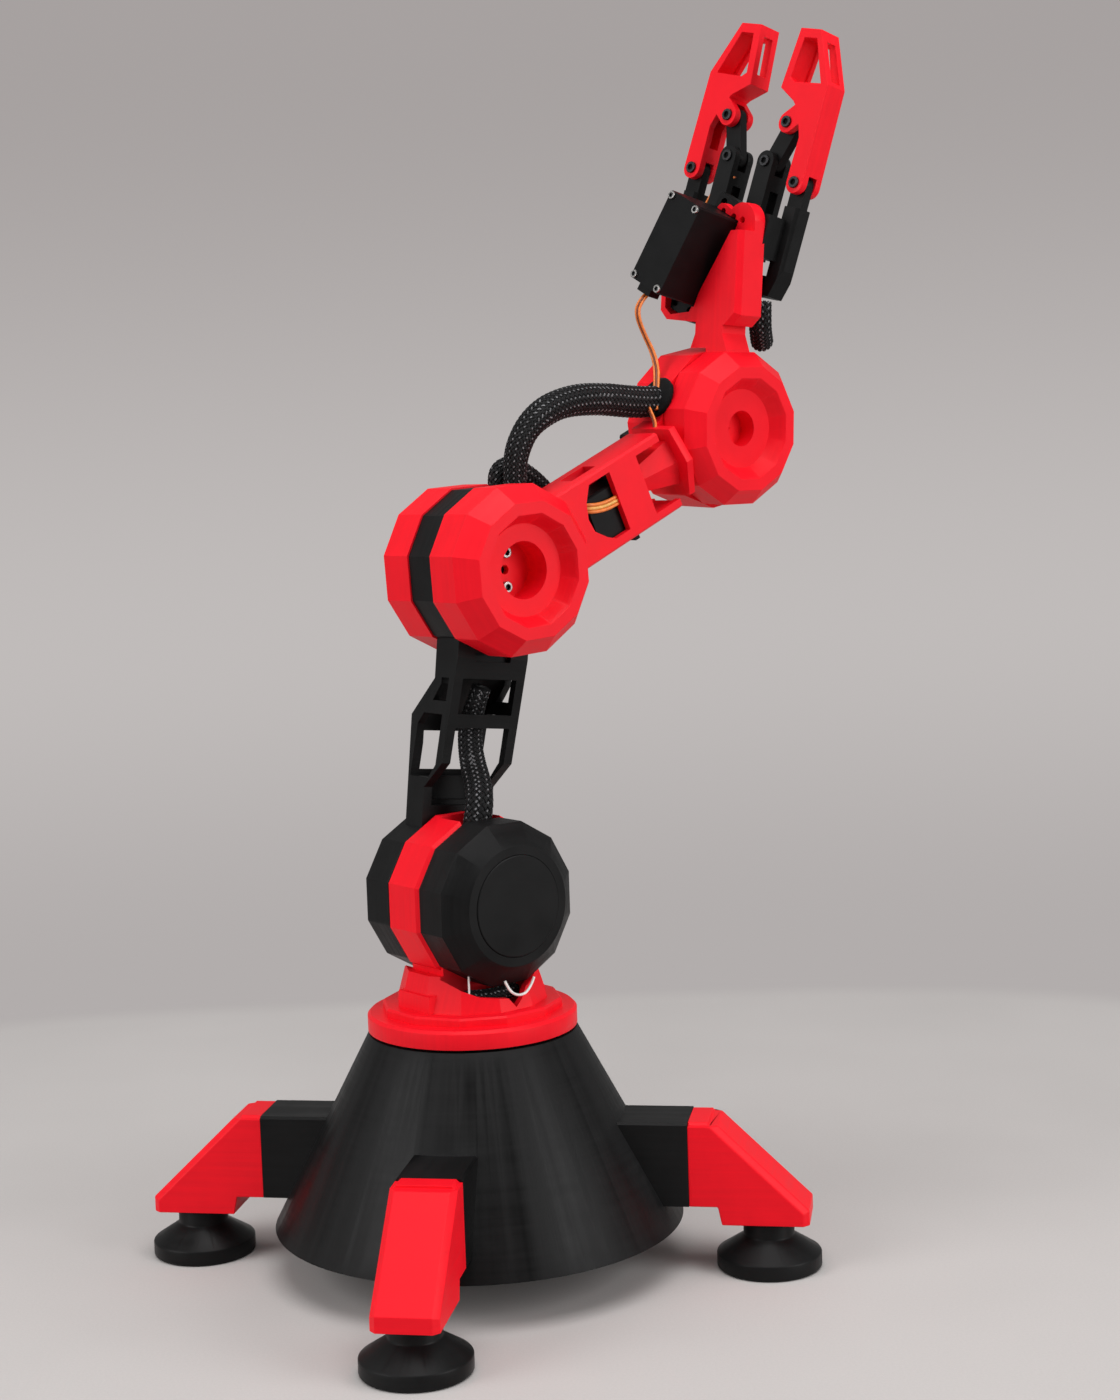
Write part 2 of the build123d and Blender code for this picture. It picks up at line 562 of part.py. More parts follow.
# ================================================================ forearm (forearm frame)
FOREARM_TURN = -5.5
SWING = math.hypot(LOW_PROFILE[0] - LOW_PROFILE[3], LOW_PROFILE[1] / 2) + SEAT_GAP
HUB_START = ELBOW_SERVO_TOP - HORN_END
ROLL_SERVO_TOP = 74.0
ROLL_SERVO = Location((ROLL_SERVO_TOP, ROLL_Y, ROLL_Z)) * Rotation(0, 90, 0) * Rotation(0, 0, 180)


def dished_face(face_y, rim, floor_y, bore, turn):
    """The hollow of a drum's outer face: twelve flats at the rim closing on a round bore."""
    plane = Plane(origin=(0, floor_y, 0), x_dir=(1, 0, 0), z_dir=(0, -1, 0))
    dish = loft([facets_at(rim, face_y, turn), plane * Circle(bore)], ruled=True)
    return dish


def make_forearm():
    """Near elbow drum with its dished face, and the windowed box that it carries."""
    start = BAND_NEAR_Y - RUN_GAP
    body = drum([(start, DRUM_RADIUS), (-DRUM_HALF, DRUM_RADIUS), (-RIM_Y, RIM_RADIUS)], FOREARM_TURN)
    box = block(DRUM_RADIUS - 8, BOX_END, BOX_NEAR_Y, BOX_FAR_Y, -BOX_HALF, BOX_HALF)
    box = chamfer(box.edges().filter_by(Axis.X), 1.0)
    body += box
    body -= disc_y(BAND_RADIUS + 2 * RUN_GAP, start, BOX_FAR_Y + 1)
    inner = BOX_HALF - BOX_WALL
    body -= block(DRUM_RADIUS + BOX_WALL, BOX_END + 1, BOX_NEAR_Y + BOX_WALL, BOX_FAR_Y - BOX_WALL, -inner, inner)
    # near panel: a window, a rib and an open notch; the far panel has the same window; slot in the top
    body -= plate_y(BOX_WINDOW, BOX_NEAR_Y - 1, BOX_NEAR_Y + BOX_WALL + 1)
    body -= plate_y(BOX_WINDOW, BOX_FAR_Y - BOX_WALL - 1, BOX_FAR_Y + 1)
    body -= block(RIB_END, BOX_END + 1, BOX_NEAR_Y - 1, BOX_FAR_Y + 1, BOX_RAIL - BOX_HALF, BOX_HALF - BOX_RAIL)
    body -= block(46, 60, ROLL_Y - 4, ROLL_Y + 4, BOX_HALF - BOX_WALL - 1, BOX_HALF + 1)
    body -= ROLL_SERVO * servo_room(MICRO)
    body -= ROLL_SERVO * ear_room(MICRO, front=8)
    # inside of the drum, then the dish, the hub bore and the horn's seat
    cup = disc_y(SWING, -FLOOR_Y + WALL, start + 1)
    cup -= disc_y(HUB_BORE_RADIUS + WALL, -FLOOR_Y, start + 2)
    body -= cup
    body -= dished_face(-RIM_Y, RECESS_RADIUS, -FLOOR_Y, BORE_RADIUS, FOREARM_TURN)
    body -= disc_y(HUB_BORE_RADIUS, -FLOOR_Y - 1, -HUB_Y)
    body -= disc_y(LOW_PROFILE[6] + SEAT_GAP, HUB_START, start + 1)
    body -= disc_y(SCREW_RADIUS + 0.4, -HUB_Y - 1, HUB_START + 1)
    for z in (-HUB_SCREWS, HUB_SCREWS):
        body -= Rotation(0, FOREARM_RISE, 0) * disc_y(SCREW_RADIUS, -HUB_Y - 1, HUB_START + 1, 0, z)
    return body


HUB_SCREWS = 7.0
BOX_WINDOW = [(49.4, 13.6), (45.0, 7.5), (43.0, 1.0), (44.0, -5.0), (49.0, -10.0), (53.0, -12.6), (61.5, -12.6),
              (61.5, 13.6)]
RIB_END = 77.5
BOX_RAIL = 3.8


def make_far_elbow_drum():
    """Far elbow drum: a deep cup over the servo, fixed to the band (shoulder frame)."""
    floor = ELBOW_SERVO_TOP + LOW_PROFILE[2] + 2 * SEAT_GAP
    body = drum([(BAND_FAR_Y, DRUM_RADIUS), (DRUM_HALF, DRUM_RADIUS), (RIM_Y - 2, RIM_RADIUS)], ELBOW_TURN)
    body -= disc_y(DRUM_RADIUS - 2 * WALL, BAND_FAR_Y - 1, floor)
    body -= dished_face(RIM_Y - 2, RECESS_RADIUS, floor + WALL, BORE_RADIUS, ELBOW_TURN)
    body = Location((0, 0, UPPER_ARM_LENGTH)) * body
    return body - ELBOW_SERVO * servo_room(LOW_PROFILE)


SLEEVE_FOREARM = [(28.0, -1.0, 30.0), (37.5, -1.0, 38.0), (52.0, -1.5, 43.2), (69.0, -1.0, 40.2), (86.0, -0.5, 33.2),
                  (97.0, -1.0, 28.6)]
SLEEVE_ELBOW = [(6.0, 15.0, 39.1), (16.0, 11.5, 37.6), (27.0, 10.0, 34.0), (36.0, 9.8, 28.0), (42.5, 9.0, 20.0),
                (46.0, 6.5, 11.0), (47.0, 4.3, 3.5)]
RIBBON_ROLL = [(60.0, -17.1, 7.0), (53.0, -17.1, 5.2), (45.9, -17.1, 3.5), (44.9, -13.6, 2.7)]


def make_forearm_group():
    place = forearm_frame
    save("forearm", place * make_forearm())
    shaft = Rotation(90, 0, 0)
    save("elbow_horn", place * Location((0, ELBOW_SERVO_TOP, 0)) * shaft * horn(LOW_PROFILE))
    screw = shaft * pan_screw(HUB_Y + HUB_START)
    pair = [place * Rotation(0, FOREARM_RISE, 0) * Location((0, -HUB_Y, z)) * screw for z in (-HUB_SCREWS, HUB_SCREWS)]
    save("elbow_hub_screws", Compound(children=pair))
    save("roll_servo", place * ROLL_SERVO * servo(MICRO))
    save("sleeve_forearm", place * cord(SLEEVE_FOREARM, 12.5))
    save("sleeve_elbow", place * cord(SLEEVE_ELBOW, 8.0))
    save("ribbon_roll", place * cord(RIBBON_ROLL, 3.0))


# ================================================================ wrist bracket (wrist frame)
WRIST_TURN = 1.8
HUB_NARROW, HUB_WIDE = 0.36, 0.66
WRIST_SERVO_TOP = HOUSING_NEAR_Y + HORN_START
WRIST_SERVO = Location((0, WRIST_SERVO_TOP, 0)) * Rotation(90, 0, 0)
HEX_OUTLINE = [(-21.0, 17.0), (-26.0, 2.0), (-21.0, -13.5), (2.0, -13.5), (7.0, 2.0), (2.0, 17.0)]


def hex_at(x, share):
    """The flange's outline at x, drawn in by a share towards the roll axis."""
    points = [(ROLL_Y + share * (y - ROLL_Y), ROLL_Z + share * (z - ROLL_Z)) for y, z in HEX_OUTLINE]
    plane = Plane(origin=(x, 0, 0), x_dir=(0, 1, 0), z_dir=(1, 0, 0))
    return plane * Polygon(*points, align=None)


def make_roll_hub():
    """Six-sided hub that tapers from the flange back to the roll servo's horn."""
    start = ROLL_SERVO_TOP + HORN_END - FOREARM_LENGTH
    return loft([hex_at(start, HUB_NARROW), hex_at(HEX_START - FOREARM_LENGTH + 1, HUB_WIDE)], ruled=True)


def make_wrist_bracket():
    """Hexagonal flange on the roll horn and the round housing of the wrist servo."""
    flange_end = -HAND_DRUM_RADIUS - RUN_GAP
    flange = plate_x(HEX_OUTLINE, HEX_START - FOREARM_LENGTH, flange_end)
    housing = drum([(HOUSING_NEAR_Y, HOUSING_RADIUS), (HOUSING_FAR_Y, HOUSING_RADIUS),
                    (HOUSING_FACE_Y, HOUSING_RADIUS - 8.5)], WRIST_TURN)
    foot = block(flange_end - 1, -20, HOUSING_NEAR_Y, 2, -13.5, 17)
    body = flange + housing + foot + make_roll_hub()
    body -= WRIST_SERVO * servo_room(LOW_PROFILE, back=10)
    body -= WRIST_SERVO * ear_room(LOW_PROFILE)
    return body


def make_wrist_group():
    save("wrist_bracket", wrist_frame * make_wrist_bracket())
    save("wrist_servo", wrist_frame * WRIST_SERVO * servo(LOW_PROFILE))
    save("roll_horn", roll_frame * Location((ROLL_SERVO_TOP, 0, 0)) * Rotation(0, 90, 0) * horn(MICRO))


# ================================================================ hand (hand frame)
HAND_TURN = 18.0
HAND_HUB_RADIUS = 7.6
HAND_HUB_START = WRIST_SERVO_TOP - HORN_END
HAND_HUB_Y = HAND_HUB_START - WALL
PALM_BACK_X = PALM_FRONT_X + PALM_THICKNESS
GRIP_SERVO = Location((GRIP_FRONT - HORN_START, *SERVO_SHAFT)) * Rotation(SERVO_TILT, 0, 0) * Rotation(0, 90, 0)
BOSS_Y = -19.0
BOSS_Z = 87.2


def make_hand_drum():
    """Near wrist drum with a dished face and a blind hub."""
    start = HOUSING_NEAR_Y - RUN_GAP
    rim = HAND_DRUM_RADIUS - 6.5
    body = drum([(start, HAND_DRUM_RADIUS), (HAND_DRUM_NEAR_Y, HAND_DRUM_RADIUS), (HAND_RIM_Y, rim)], HAND_TURN)
    floor = HAND_DRUM_NEAR_Y - 1.3
    body -= dished_face(HAND_RIM_Y, rim - 5, floor, BORE_RADIUS - 1.8, HAND_TURN)
    body -= disc_y(HAND_HUB_RADIUS, floor - 1, HAND_HUB_Y)
    body -= disc_y(LOW_PROFILE[6] + SEAT_GAP, HAND_HUB_START, start + 1)
    body -= disc_y(0.7, HAND_HUB_Y - 1, HAND_HUB_Y + 1)
    return body


def make_palm():
    """Palm plate with the servo's opening, the top boss with its lug, and the neck."""
    floor = PALM_BACK_X - LUG_THICKNESS
    outline = [(PALM_RIGHT_Y, PALM_BOTTOM + 1), (PALM_RIGHT_Y + 5, PALM_BOTTOM - 3.3), (PALM_LEFT_Y - 4, PALM_BOTTOM),
               (PALM_LEFT_Y, PALM_BOTTOM + 4), (PALM_LEFT_Y, 60), (0, PALM_SHOULDER), (PALM_RIGHT_Y, PALM_SHOULDER)]
    body = plate_x(outline, PALM_FRONT_X, PALM_BACK_X)
    corner = [e for e in body.edges() if abs(e.center().X - PALM_FRONT_X) < 0.01 and e.center().Y < PALM_RIGHT_Y + 6]
    body = chamfer(corner, PALM_EDGE)
    neck = [(NECK_RIGHT_Y, PALM_BOTTOM + 1), (NECK_LEFT_Y, PALM_BOTTOM + 1), (NECK_LEFT_Y, 40),
            (NECK_LEFT_Y + 3, 33), (NECK_LEFT_Y + 3, 28), (NECK_RIGHT_Y - 3, 28), (NECK_RIGHT_Y - 3, 33),
            (NECK_RIGHT_Y, 40)]
    body += plate_x(neck, PALM_FRONT_X, PALM_BACK_X)
    opening = [(-21.8, PALM_SHOULDER + 1), (2.5, 49.4), (14.0, 48.6), (17.6, 51.5), (17.6, 70), (0, 90)]
    body -= plate_x(opening, PALM_FRONT_X - 1, PALM_BACK_X + 1)
    # boss and lug, set back behind the palm's front
    radius = PALM_TOP - BOSS_Z
    body += disc_x(radius, floor, PALM_BACK_X, BOSS_Y, BOSS_Z)
    body += block(floor, PALM_BACK_X, BOSS_Y - radius, BOSS_Y, PALM_SHOULDER - 3, BOSS_Z)
    body += bar_x((BOSS_Y + 4, BOSS_Z), LUG_END, LUG_RADIUS, floor, PALM_BACK_X)
    for y, z in BOSS_HOLES:
        body -= disc_x(SCREW_RADIUS, floor - 1, PALM_BACK_X + 1, y, z)
    grip = Location(GRIP_ORIGIN) * Rotation(0, 0, GRIP_YAW) * Rotation(0, GRIP_PITCH, 0) * Rotation(GRIP_ROLL, 0, 0)
    body -= grip * make_gripper_frame()
    body -= grip * mount_plate(PLATE_FRONT, PLATE_BACK)
    body -= grip * GRIP_SERVO * servo_room(STANDARD, front=20)
    body -= grip * GRIP_SERVO * ear_room(STANDARD, front=20)
    return body


LUG_END = (-7.2, 92.1)
LUG_RADIUS = 3.7
LUG_THICKNESS = 6.0
PALM_EDGE = 2.2
BOSS_HOLES = [(-7.8, 92.2), (-14.2, 89.6), (-19.6, 88.0)]
PLATE_FRONT = GRIP_FRONT - HORN_START - STANDARD[2] + STANDARD[5] + EAR_THICKNESS
PLATE_BACK = PLATE_FRONT + 4.5
TAB_REACH = 30.0


def mount_plate(x0, x1):
    """Outline of the black plate that the servo's ears and the palm's boss are screwed to."""
    length, width, _, offset, ear, _, _ = STANDARD
    along = block(offset - length - ear, offset + ear, -width / 2, width / 2, x0, x1)
    turned = Location((0, *SERVO_SHAFT)) * Rotation(SERVO_TILT, 0, 0) * Rotation(0, 90, 0) * along
    return turned + plate_x([(-6, 18), (-TAB_REACH, 18), (-TAB_REACH, 36), (-6, 36)], x0, x1)


def make_hand_bracket():
    """Wrist drum, neck and palm in one piece."""
    palm = make_palm()
    palm -= disc_y(HOUSING_RADIUS + 2 * RUN_GAP, HOUSING_NEAR_Y - RUN_GAP, 40)
    palm -= disc_y(HAND_DRUM_RADIUS - 3, HOUSING_NEAR_Y - 16, 40)
    return make_hand_drum() + palm


# ================================================================ gripper (gripper frame)
GRIP_BACK = GRIP_FRONT + FINGER_DEPTH
TONGUE_FRONT = GRIP_FRONT + LOBE + RUN_GAP
TONGUE_BACK = GRIP_BACK - LOBE - RUN_GAP
FRAME_FRONT = 8.5
FRAME_BACK = 16.5
BAR_FRONT = 14.0
BAR_BACK = 19.0
YOKE_BOTTOM = 18.0
YOKE_TOP = 28.0
PRONG_INNER = 6.7
PRONG_OUTER = 15.7
ROD_FRONT = 10.8
ROD_BACK = 13.3
CRANK_PIN_Z = SERVO_SHAFT[1]


def mirrored(y, side):
    return y * side


def side_plate(points, x0, x1, side):
    """plate_x for one side of the gripper: side is +1 for left (+Y) and -1 for right."""
    return plate_x([(mirrored(y, side), z) for y, z in points], x0, x1)


def side_bar(p, q, radius, x0, x1, side):
    return bar_x((mirrored(p[0], side), p[1]), (mirrored(q[0], side), q[1]), radius, x0, x1)


def make_gripper_frame():
    """Black frame: mounting plate, base bar, two arms with hinge tongues and a guide post."""
    body = mount_plate(PLATE_FRONT, PLATE_BACK)
    body += block(PLATE_FRONT, BAR_FRONT, -TAB_REACH, 2 - FRAME_ARM_INNER, 18, 36)
    body += block(PLATE_BACK - 1, BAR_BACK, -2, 10, -14.5, -9.3)
    body += block(BAR_FRONT, BAR_BACK, -2, 10, -14.5, FRAME_BOTTOM + 1)
    body += block(BAR_FRONT, BAR_BACK, -FRAME_ARM_INNER - 2, FRAME_ARM_INNER + 2, FRAME_BOTTOM, FRAME_BOTTOM + 9)
    body += block(GRIP_BACK - 2, BAR_BACK, -3.6, 3.6, 0, 34)
    for side in (-1, 1):
        outline = [(FRAME_ARM_INNER, FRAME_BOTTOM + 8), (FRAME_ARM_INNER + 2, FRAME_BOTTOM),
                   (FRAME_ARM_OUTER - 4, FRAME_BOTTOM), (FRAME_ARM_OUTER, FRAME_BOTTOM + 12),
                   (FRAME_ARM_OUTER, FRAME_ARM_TOP), (FRAME_ARM_INNER, FRAME_ARM_TOP)]
        arm = side_plate(outline, FRAME_FRONT, BAR_BACK - 1, side)
        arm = chamfer(arm.edges().filter_by(Axis.Z), 1.4)
        body += arm
        body += side_bar((LOWER_PIN[0], FRAME_ARM_TOP - 3), LOWER_PIN, LOBE_RADIUS - 0.6, TONGUE_FRONT, TONGUE_BACK, side)
        body -= disc_x(PIN_RADIUS, TONGUE_FRONT - 1, TONGUE_BACK + 1, mirrored(LOWER_PIN[0], side), LOWER_PIN[1])
    body -= GRIP_SERVO * servo_room(STANDARD, front=0.0)
    body -= disc_x(STANDARD[6] + 1, GRIP_FRONT - HORN_START, BAR_FRONT - 0.5, 0, SERVO_SHAFT[1])
    return body


def make_finger(side):
    """Finger: hinge lobes, hollow arm, boss for the link and the open triangular jaw."""
    top = TIP_HEIGHT
    outline = [(LOWER_PIN[0] + 4.6, LOWER_PIN[1]), (34.6, 94.5), (23.2, top), (11.6, top), (9.0, 91.0),
               (17.9, 86.0), (22.0, 82.0), (26.5, 71.0), (LOWER_PIN[0] - 4.6, LOWER_PIN[1])]
    body = side_plate(outline, GRIP_FRONT, GRIP_BACK, side)
    body += side_bar(LOWER_PIN, (LOWER_PIN[0], LOWER_PIN[1] + 1), LOBE_RADIUS, GRIP_FRONT, GRIP_BACK, side)
    body += side_bar(MIDDLE_PIN, (25.0, 83.0), LOBE_RADIUS, GRIP_FRONT, GRIP_BACK, side)
    # jaw: a triangular window from front to back, and a slot through the wall on the -Y side
    window = [(30.6, 94.5), (22.0, 113.0), (15.0, 113.0), (13.0, 95.8), (15.5, 94.0)]
    body -= side_plate(window, GRIP_FRONT - 1, GRIP_BACK - JAW_BACK, side)
    centre = (18.9, 102.0)
    inset = [(centre[0] + 0.8 * (y - centre[0]), centre[1] + 0.86 * (z - centre[1])) for y, z in window]
    body -= side_plate(inset, GRIP_BACK - JAW_BACK - 1, GRIP_BACK + 1, side)
    middle = mirrored(19.0, side)
    body -= block(GRIP_FRONT + 3.2, GRIP_BACK - 3.2, middle - 22, middle, 96.0, 112.5)
    # slots for the frame's tongue and for the link
    body -= side_bar(LOWER_PIN, (LOWER_PIN[0], LOWER_PIN[1] - 10), LOBE_RADIUS + 1.2,
                     GRIP_FRONT + LOBE, GRIP_BACK - LOBE, side)
    body -= side_bar(MIDDLE_PIN, (JOINT_PIN[0] - 2, JOINT_PIN[1]), LINK_RADIUS + 1.6,
                     GRIP_FRONT + LOBE, GRIP_BACK - LOBE, side)
    body -= side_bar(MIDDLE_PIN, (JOINT_PIN[0] + 4, JOINT_PIN[1]), LINK_RADIUS + 1.6,
                     GRIP_FRONT + LOBE, GRIP_BACK - LOBE, side)
    # hollow of the arm, open on the inner side
    hollow = [(22.0, LOWER_PIN[1] + 10), (LOWER_PIN[0] + 1.4, LOWER_PIN[1] + 10), (31.6, 76.0), (27.0, 80.0), (22.0, 80.0)]
    body -= side_plate(hollow, GRIP_FRONT + LOBE, GRIP_BACK - LOBE, side)
    body -= disc_x(PIN_RADIUS + BORE_GAP, GRIP_FRONT - 1, GRIP_BACK + 1, mirrored(LOWER_PIN[0], side), LOWER_PIN[1])
    body -= disc_x(PIN_RADIUS, GRIP_FRONT - 1, GRIP_BACK + 1, mirrored(MIDDLE_PIN[0], side), MIDDLE_PIN[1])
    return body


def make_link(side):
    """Black link from the finger's boss to the fork."""
    body = side_bar(MIDDLE_PIN, JOINT_PIN, LINK_RADIUS, TONGUE_FRONT, TONGUE_BACK, side)
    body -= disc_x(PIN_RADIUS + LINK_PLAY, TONGUE_FRONT - 1, TONGUE_BACK + 1, mirrored(MIDDLE_PIN[0], side), MIDDLE_PIN[1])
    body -= disc_x(PIN_RADIUS + BORE_GAP, TONGUE_FRONT - 1, TONGUE_BACK + 1, mirrored(JOINT_PIN[0], side), JOINT_PIN[1])
    return body


LINK_PLAY = 0.75
ROD_PLAY = 1.0
JAW_BACK = 2.4


def make_fork():
    """Pusher fork: a yoke on the connecting rod and two prongs that end in clevises."""
    body = block(GRIP_FRONT, GRIP_BACK - 2.4, -PRONG_OUTER, PRONG_OUTER, YOKE_BOTTOM, YOKE_TOP)
    for side in (-1, 1):
        outline = [(PRONG_INNER, YOKE_BOTTOM), (PRONG_OUTER, YOKE_BOTTOM), (PRONG_OUTER, JOINT_PIN[1]),
                   (PRONG_INNER, JOINT_PIN[1])]
        body += side_plate(outline, GRIP_FRONT, GRIP_BACK, side)
        body += side_bar((JOINT_PIN[0], JOINT_PIN[1] - 1), JOINT_PIN, LOBE_RADIUS, GRIP_FRONT, GRIP_BACK, side)
        body -= side_plate([(0, JOINT_PIN[1] - LINK_RADIUS - 1), (30, JOINT_PIN[1] - LINK_RADIUS - 1),
                            (30, JOINT_PIN[1] + 10), (0, JOINT_PIN[1] + 10)],
                           GRIP_FRONT + LOBE, GRIP_BACK - LOBE, side)
        body -= side_plate([(0, YOKE_TOP + 2), (30, YOKE_TOP + 2), (30, JOINT_PIN[1] - 12), (0, JOINT_PIN[1] - 12)],
                           GRIP_FRONT + LOBE, GRIP_BACK - LOBE, side)
        body -= disc_x(PIN_RADIUS, GRIP_FRONT - 1, GRIP_BACK + 1, mirrored(JOINT_PIN[0], side), JOINT_PIN[1])
    body -= plate_x([(-9, YOKE_BOTTOM - 1), (11, YOKE_BOTTOM - 1), (6, PUSHER_PIN + 5), (-6, PUSHER_PIN + 5)],
                    ROD_FRONT - RUN_GAP, ROD_BACK + RUN_GAP)
    body -= disc_x(PIN_RADIUS, GRIP_FRONT - 1, GRIP_BACK, 0, PUSHER_PIN)
    return body


def make_con_rod():
    """Connecting rod from the crank pin to the fork."""
    body = bar_x((CRANK_RADIUS, CRANK_PIN_Z), (0, PUSHER_PIN), 3.6, ROD_FRONT, ROD_BACK)
    body -= disc_x(PIN_RADIUS + BORE_GAP, ROD_FRONT - 1, ROD_BACK + 1, CRANK_RADIUS, CRANK_PIN_Z)
    body -= disc_x(PIN_RADIUS + ROD_PLAY, ROD_FRONT - 1, ROD_BACK + 1, 0, PUSHER_PIN)
    return body


SLEEVE_HAND = [(9.6, -21.0, 54.0), (9.4, -21.5, 48.5), (13.0, -18.5, 42.5), (19.5, -13.5, 38.0)]
RIBBON_GRIPPER = [(-29.3, 9.1, 54.9), (-30.5, 9.6, 51.5), (-30.3, 9.6, 46.0), (-27.0, 8.5, 40.0)]


def make_hand_group():
    place = grip_frame
    save("sleeve_hand", hand_frame * cord(SLEEVE_HAND, 10.0))
    save("ribbon_gripper", hand_frame * cord(RIBBON_GRIPPER, 3.0))
    save("hand_bracket", hand_frame * make_hand_bracket())
    save("wrist_horn", hand_frame * Location((0, WRIST_SERVO_TOP, 0)) * Rotation(90, 0, 0) * horn(LOW_PROFILE))
    case = servo(STANDARD) + block(STANDARD[3] - 1, STANDARD[3] + 3.2, -4, 4, 1 - STANDARD[2], 7 - STANDARD[2])
    screws = []
    for spot in cover_places(STANDARD):
        case -= disc_z(COVER_SCREW, spot[2] - 1, spot[2] + 5, spot[0], spot[1])
        screw = disc_z(COVER_SCREW, -5, 0) + disc_z(1.9 * COVER_SCREW, 0, 1.0)
        screws.append(place * GRIP_SERVO * Location(spot) * Rotation(180, 0, 0) * screw)
    save("gripper_servo", place * GRIP_SERVO * case)
    save("gripper_cover_screws", Compound(children=screws))
    save("gripper_frame", place * make_gripper_frame())
    pins = [place * disc_x(PIN_RADIUS, GRIP_FRONT + 0.6, GRIP_BACK - 0.6, side * LOWER_PIN[0], LOWER_PIN[1])
            for side in (-1, 1)]
    save("hinge_pins", Compound(children=pins))
    crank = Location((GRIP_FRONT - HORN_START, *SERVO_SHAFT)) * Rotation(0, 90, 0) * horn(STANDARD)
    save("crank", place * crank)
    save("crank_pin", place * disc_x(PIN_RADIUS, GRIP_FRONT - HORN_START + HORN_END, ROD_BACK, CRANK_RADIUS, CRANK_PIN_Z))
    save("connecting_rod", place * make_con_rod())
    save("fork", place * make_fork())
    pins = [place * disc_x(PIN_RADIUS, GRIP_FRONT + 0.6, GRIP_BACK - 0.6, side * JOINT_PIN[0], JOINT_PIN[1])
            for side in (-1, 1)]
    pins.append(place * disc_x(PIN_RADIUS, GRIP_FRONT + 0.6, GRIP_BACK - 3, 0, PUSHER_PIN))
    save("fork_pins", Compound(children=pins))
    for name, side in (("right", -1), ("left", 1)):
        save(f"finger_{name}", place * make_finger(side))
        save(f"link_{name}", place * make_link(side))
        pin = disc_x(PIN_RADIUS, GRIP_FRONT + 0.6, GRIP_BACK - 0.6, side * MIDDLE_PIN[0], MIDDLE_PIN[1])
        save(f"link_pin_{name}", place * pin)


make_base()
make_turntable_group()
make_upper_arm_group()
save("elbow_far_drum", shoulder_frame * make_far_elbow_drum())
make_forearm_group()
make_wrist_group()
make_hand_group()

for name, shape in built.items():
    size = shape.bounding_box().size
    print(f"{name:24s} {shape.volume / 1000:8.1f} cm3  {size.X:6.1f} {size.Y:6.1f} {size.Z:6.1f}")
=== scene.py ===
"""Looks of the desktop robot arm: printed plastic, servo cases, screws, braided sleeves and servo leads."""
import math
import bmesh
import bpy
from mathutils import Matrix, Vector


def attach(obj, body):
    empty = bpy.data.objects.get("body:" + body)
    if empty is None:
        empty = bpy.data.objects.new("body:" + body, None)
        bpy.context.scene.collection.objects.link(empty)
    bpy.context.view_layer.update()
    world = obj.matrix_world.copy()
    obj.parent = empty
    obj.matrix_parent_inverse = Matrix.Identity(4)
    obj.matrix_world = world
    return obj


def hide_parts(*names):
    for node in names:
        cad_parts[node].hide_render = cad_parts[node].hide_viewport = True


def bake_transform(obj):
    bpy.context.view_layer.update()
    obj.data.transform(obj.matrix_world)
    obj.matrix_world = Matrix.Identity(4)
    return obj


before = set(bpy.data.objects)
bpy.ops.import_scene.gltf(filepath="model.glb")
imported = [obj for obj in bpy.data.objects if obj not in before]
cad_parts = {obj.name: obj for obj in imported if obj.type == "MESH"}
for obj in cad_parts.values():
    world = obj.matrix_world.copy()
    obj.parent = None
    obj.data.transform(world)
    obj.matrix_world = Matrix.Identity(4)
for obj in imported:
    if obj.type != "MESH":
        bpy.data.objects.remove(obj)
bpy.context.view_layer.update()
MM = 0.001

# ---------------------------------------------------------------- colours, linear
RED = (0.84, 0.0045, 0.015)
BLACK = (0.0062, 0.0062, 0.0064)
CASE_BLACK = (0.0038, 0.0038, 0.0041)
HORN_BLACK = (0.008, 0.008, 0.0085)
STEEL = (0.38, 0.37, 0.36)
DARK_STEEL = (0.055, 0.055, 0.058)
BRAID_BLACK = (0.0050, 0.0050, 0.0055)
# pale yarn, painted as glints on the braid's crossings
GLINT_GREY = (0.13, 0.13, 0.135)
ORANGE = (0.78, 0.20, 0.03)
YELLOW = (0.80, 0.42, 0.10)
BROWN = (0.20, 0.035, 0.012)
WHITE = (0.78, 0.76, 0.74)
BACKDROP_LOW = (0.445, 0.418, 0.413)
BACKDROP_MID = (0.527, 0.499, 0.491)
BACKDROP_TOP = (0.385, 0.357, 0.352)
FLOOR = (0.525, 0.500, 0.490)

# ---------------------------------------------------------------- frames of the arm, as in the solids
SHOULDER_HEIGHT = 152.0
UPPER_ARM_LEAN = 6.7
UPPER_ARM_LENGTH = 133.0
FOREARM_RISE = 24.0
ROLL_Y = -9.5
ROLL_Z = 1.8
WRIST_ROLL = 3.0
FOREARM_LENGTH = 134.0
HAND_PITCH = 3.0
GRIP_ORIGIN = (0.0, 6.0, 60.0)
GRIP_YAW = 4.0
GRIP_PITCH = 8.2
GRIP_ROLL = 9.5


def shift(x, y, z):
    """A move by millimetres."""
    return Matrix.Translation(Vector((x, y, z)) * MM)


def turn(axis, degrees):
    """A turn about one axis."""
    return Matrix.Rotation(math.radians(degrees), 4, axis)


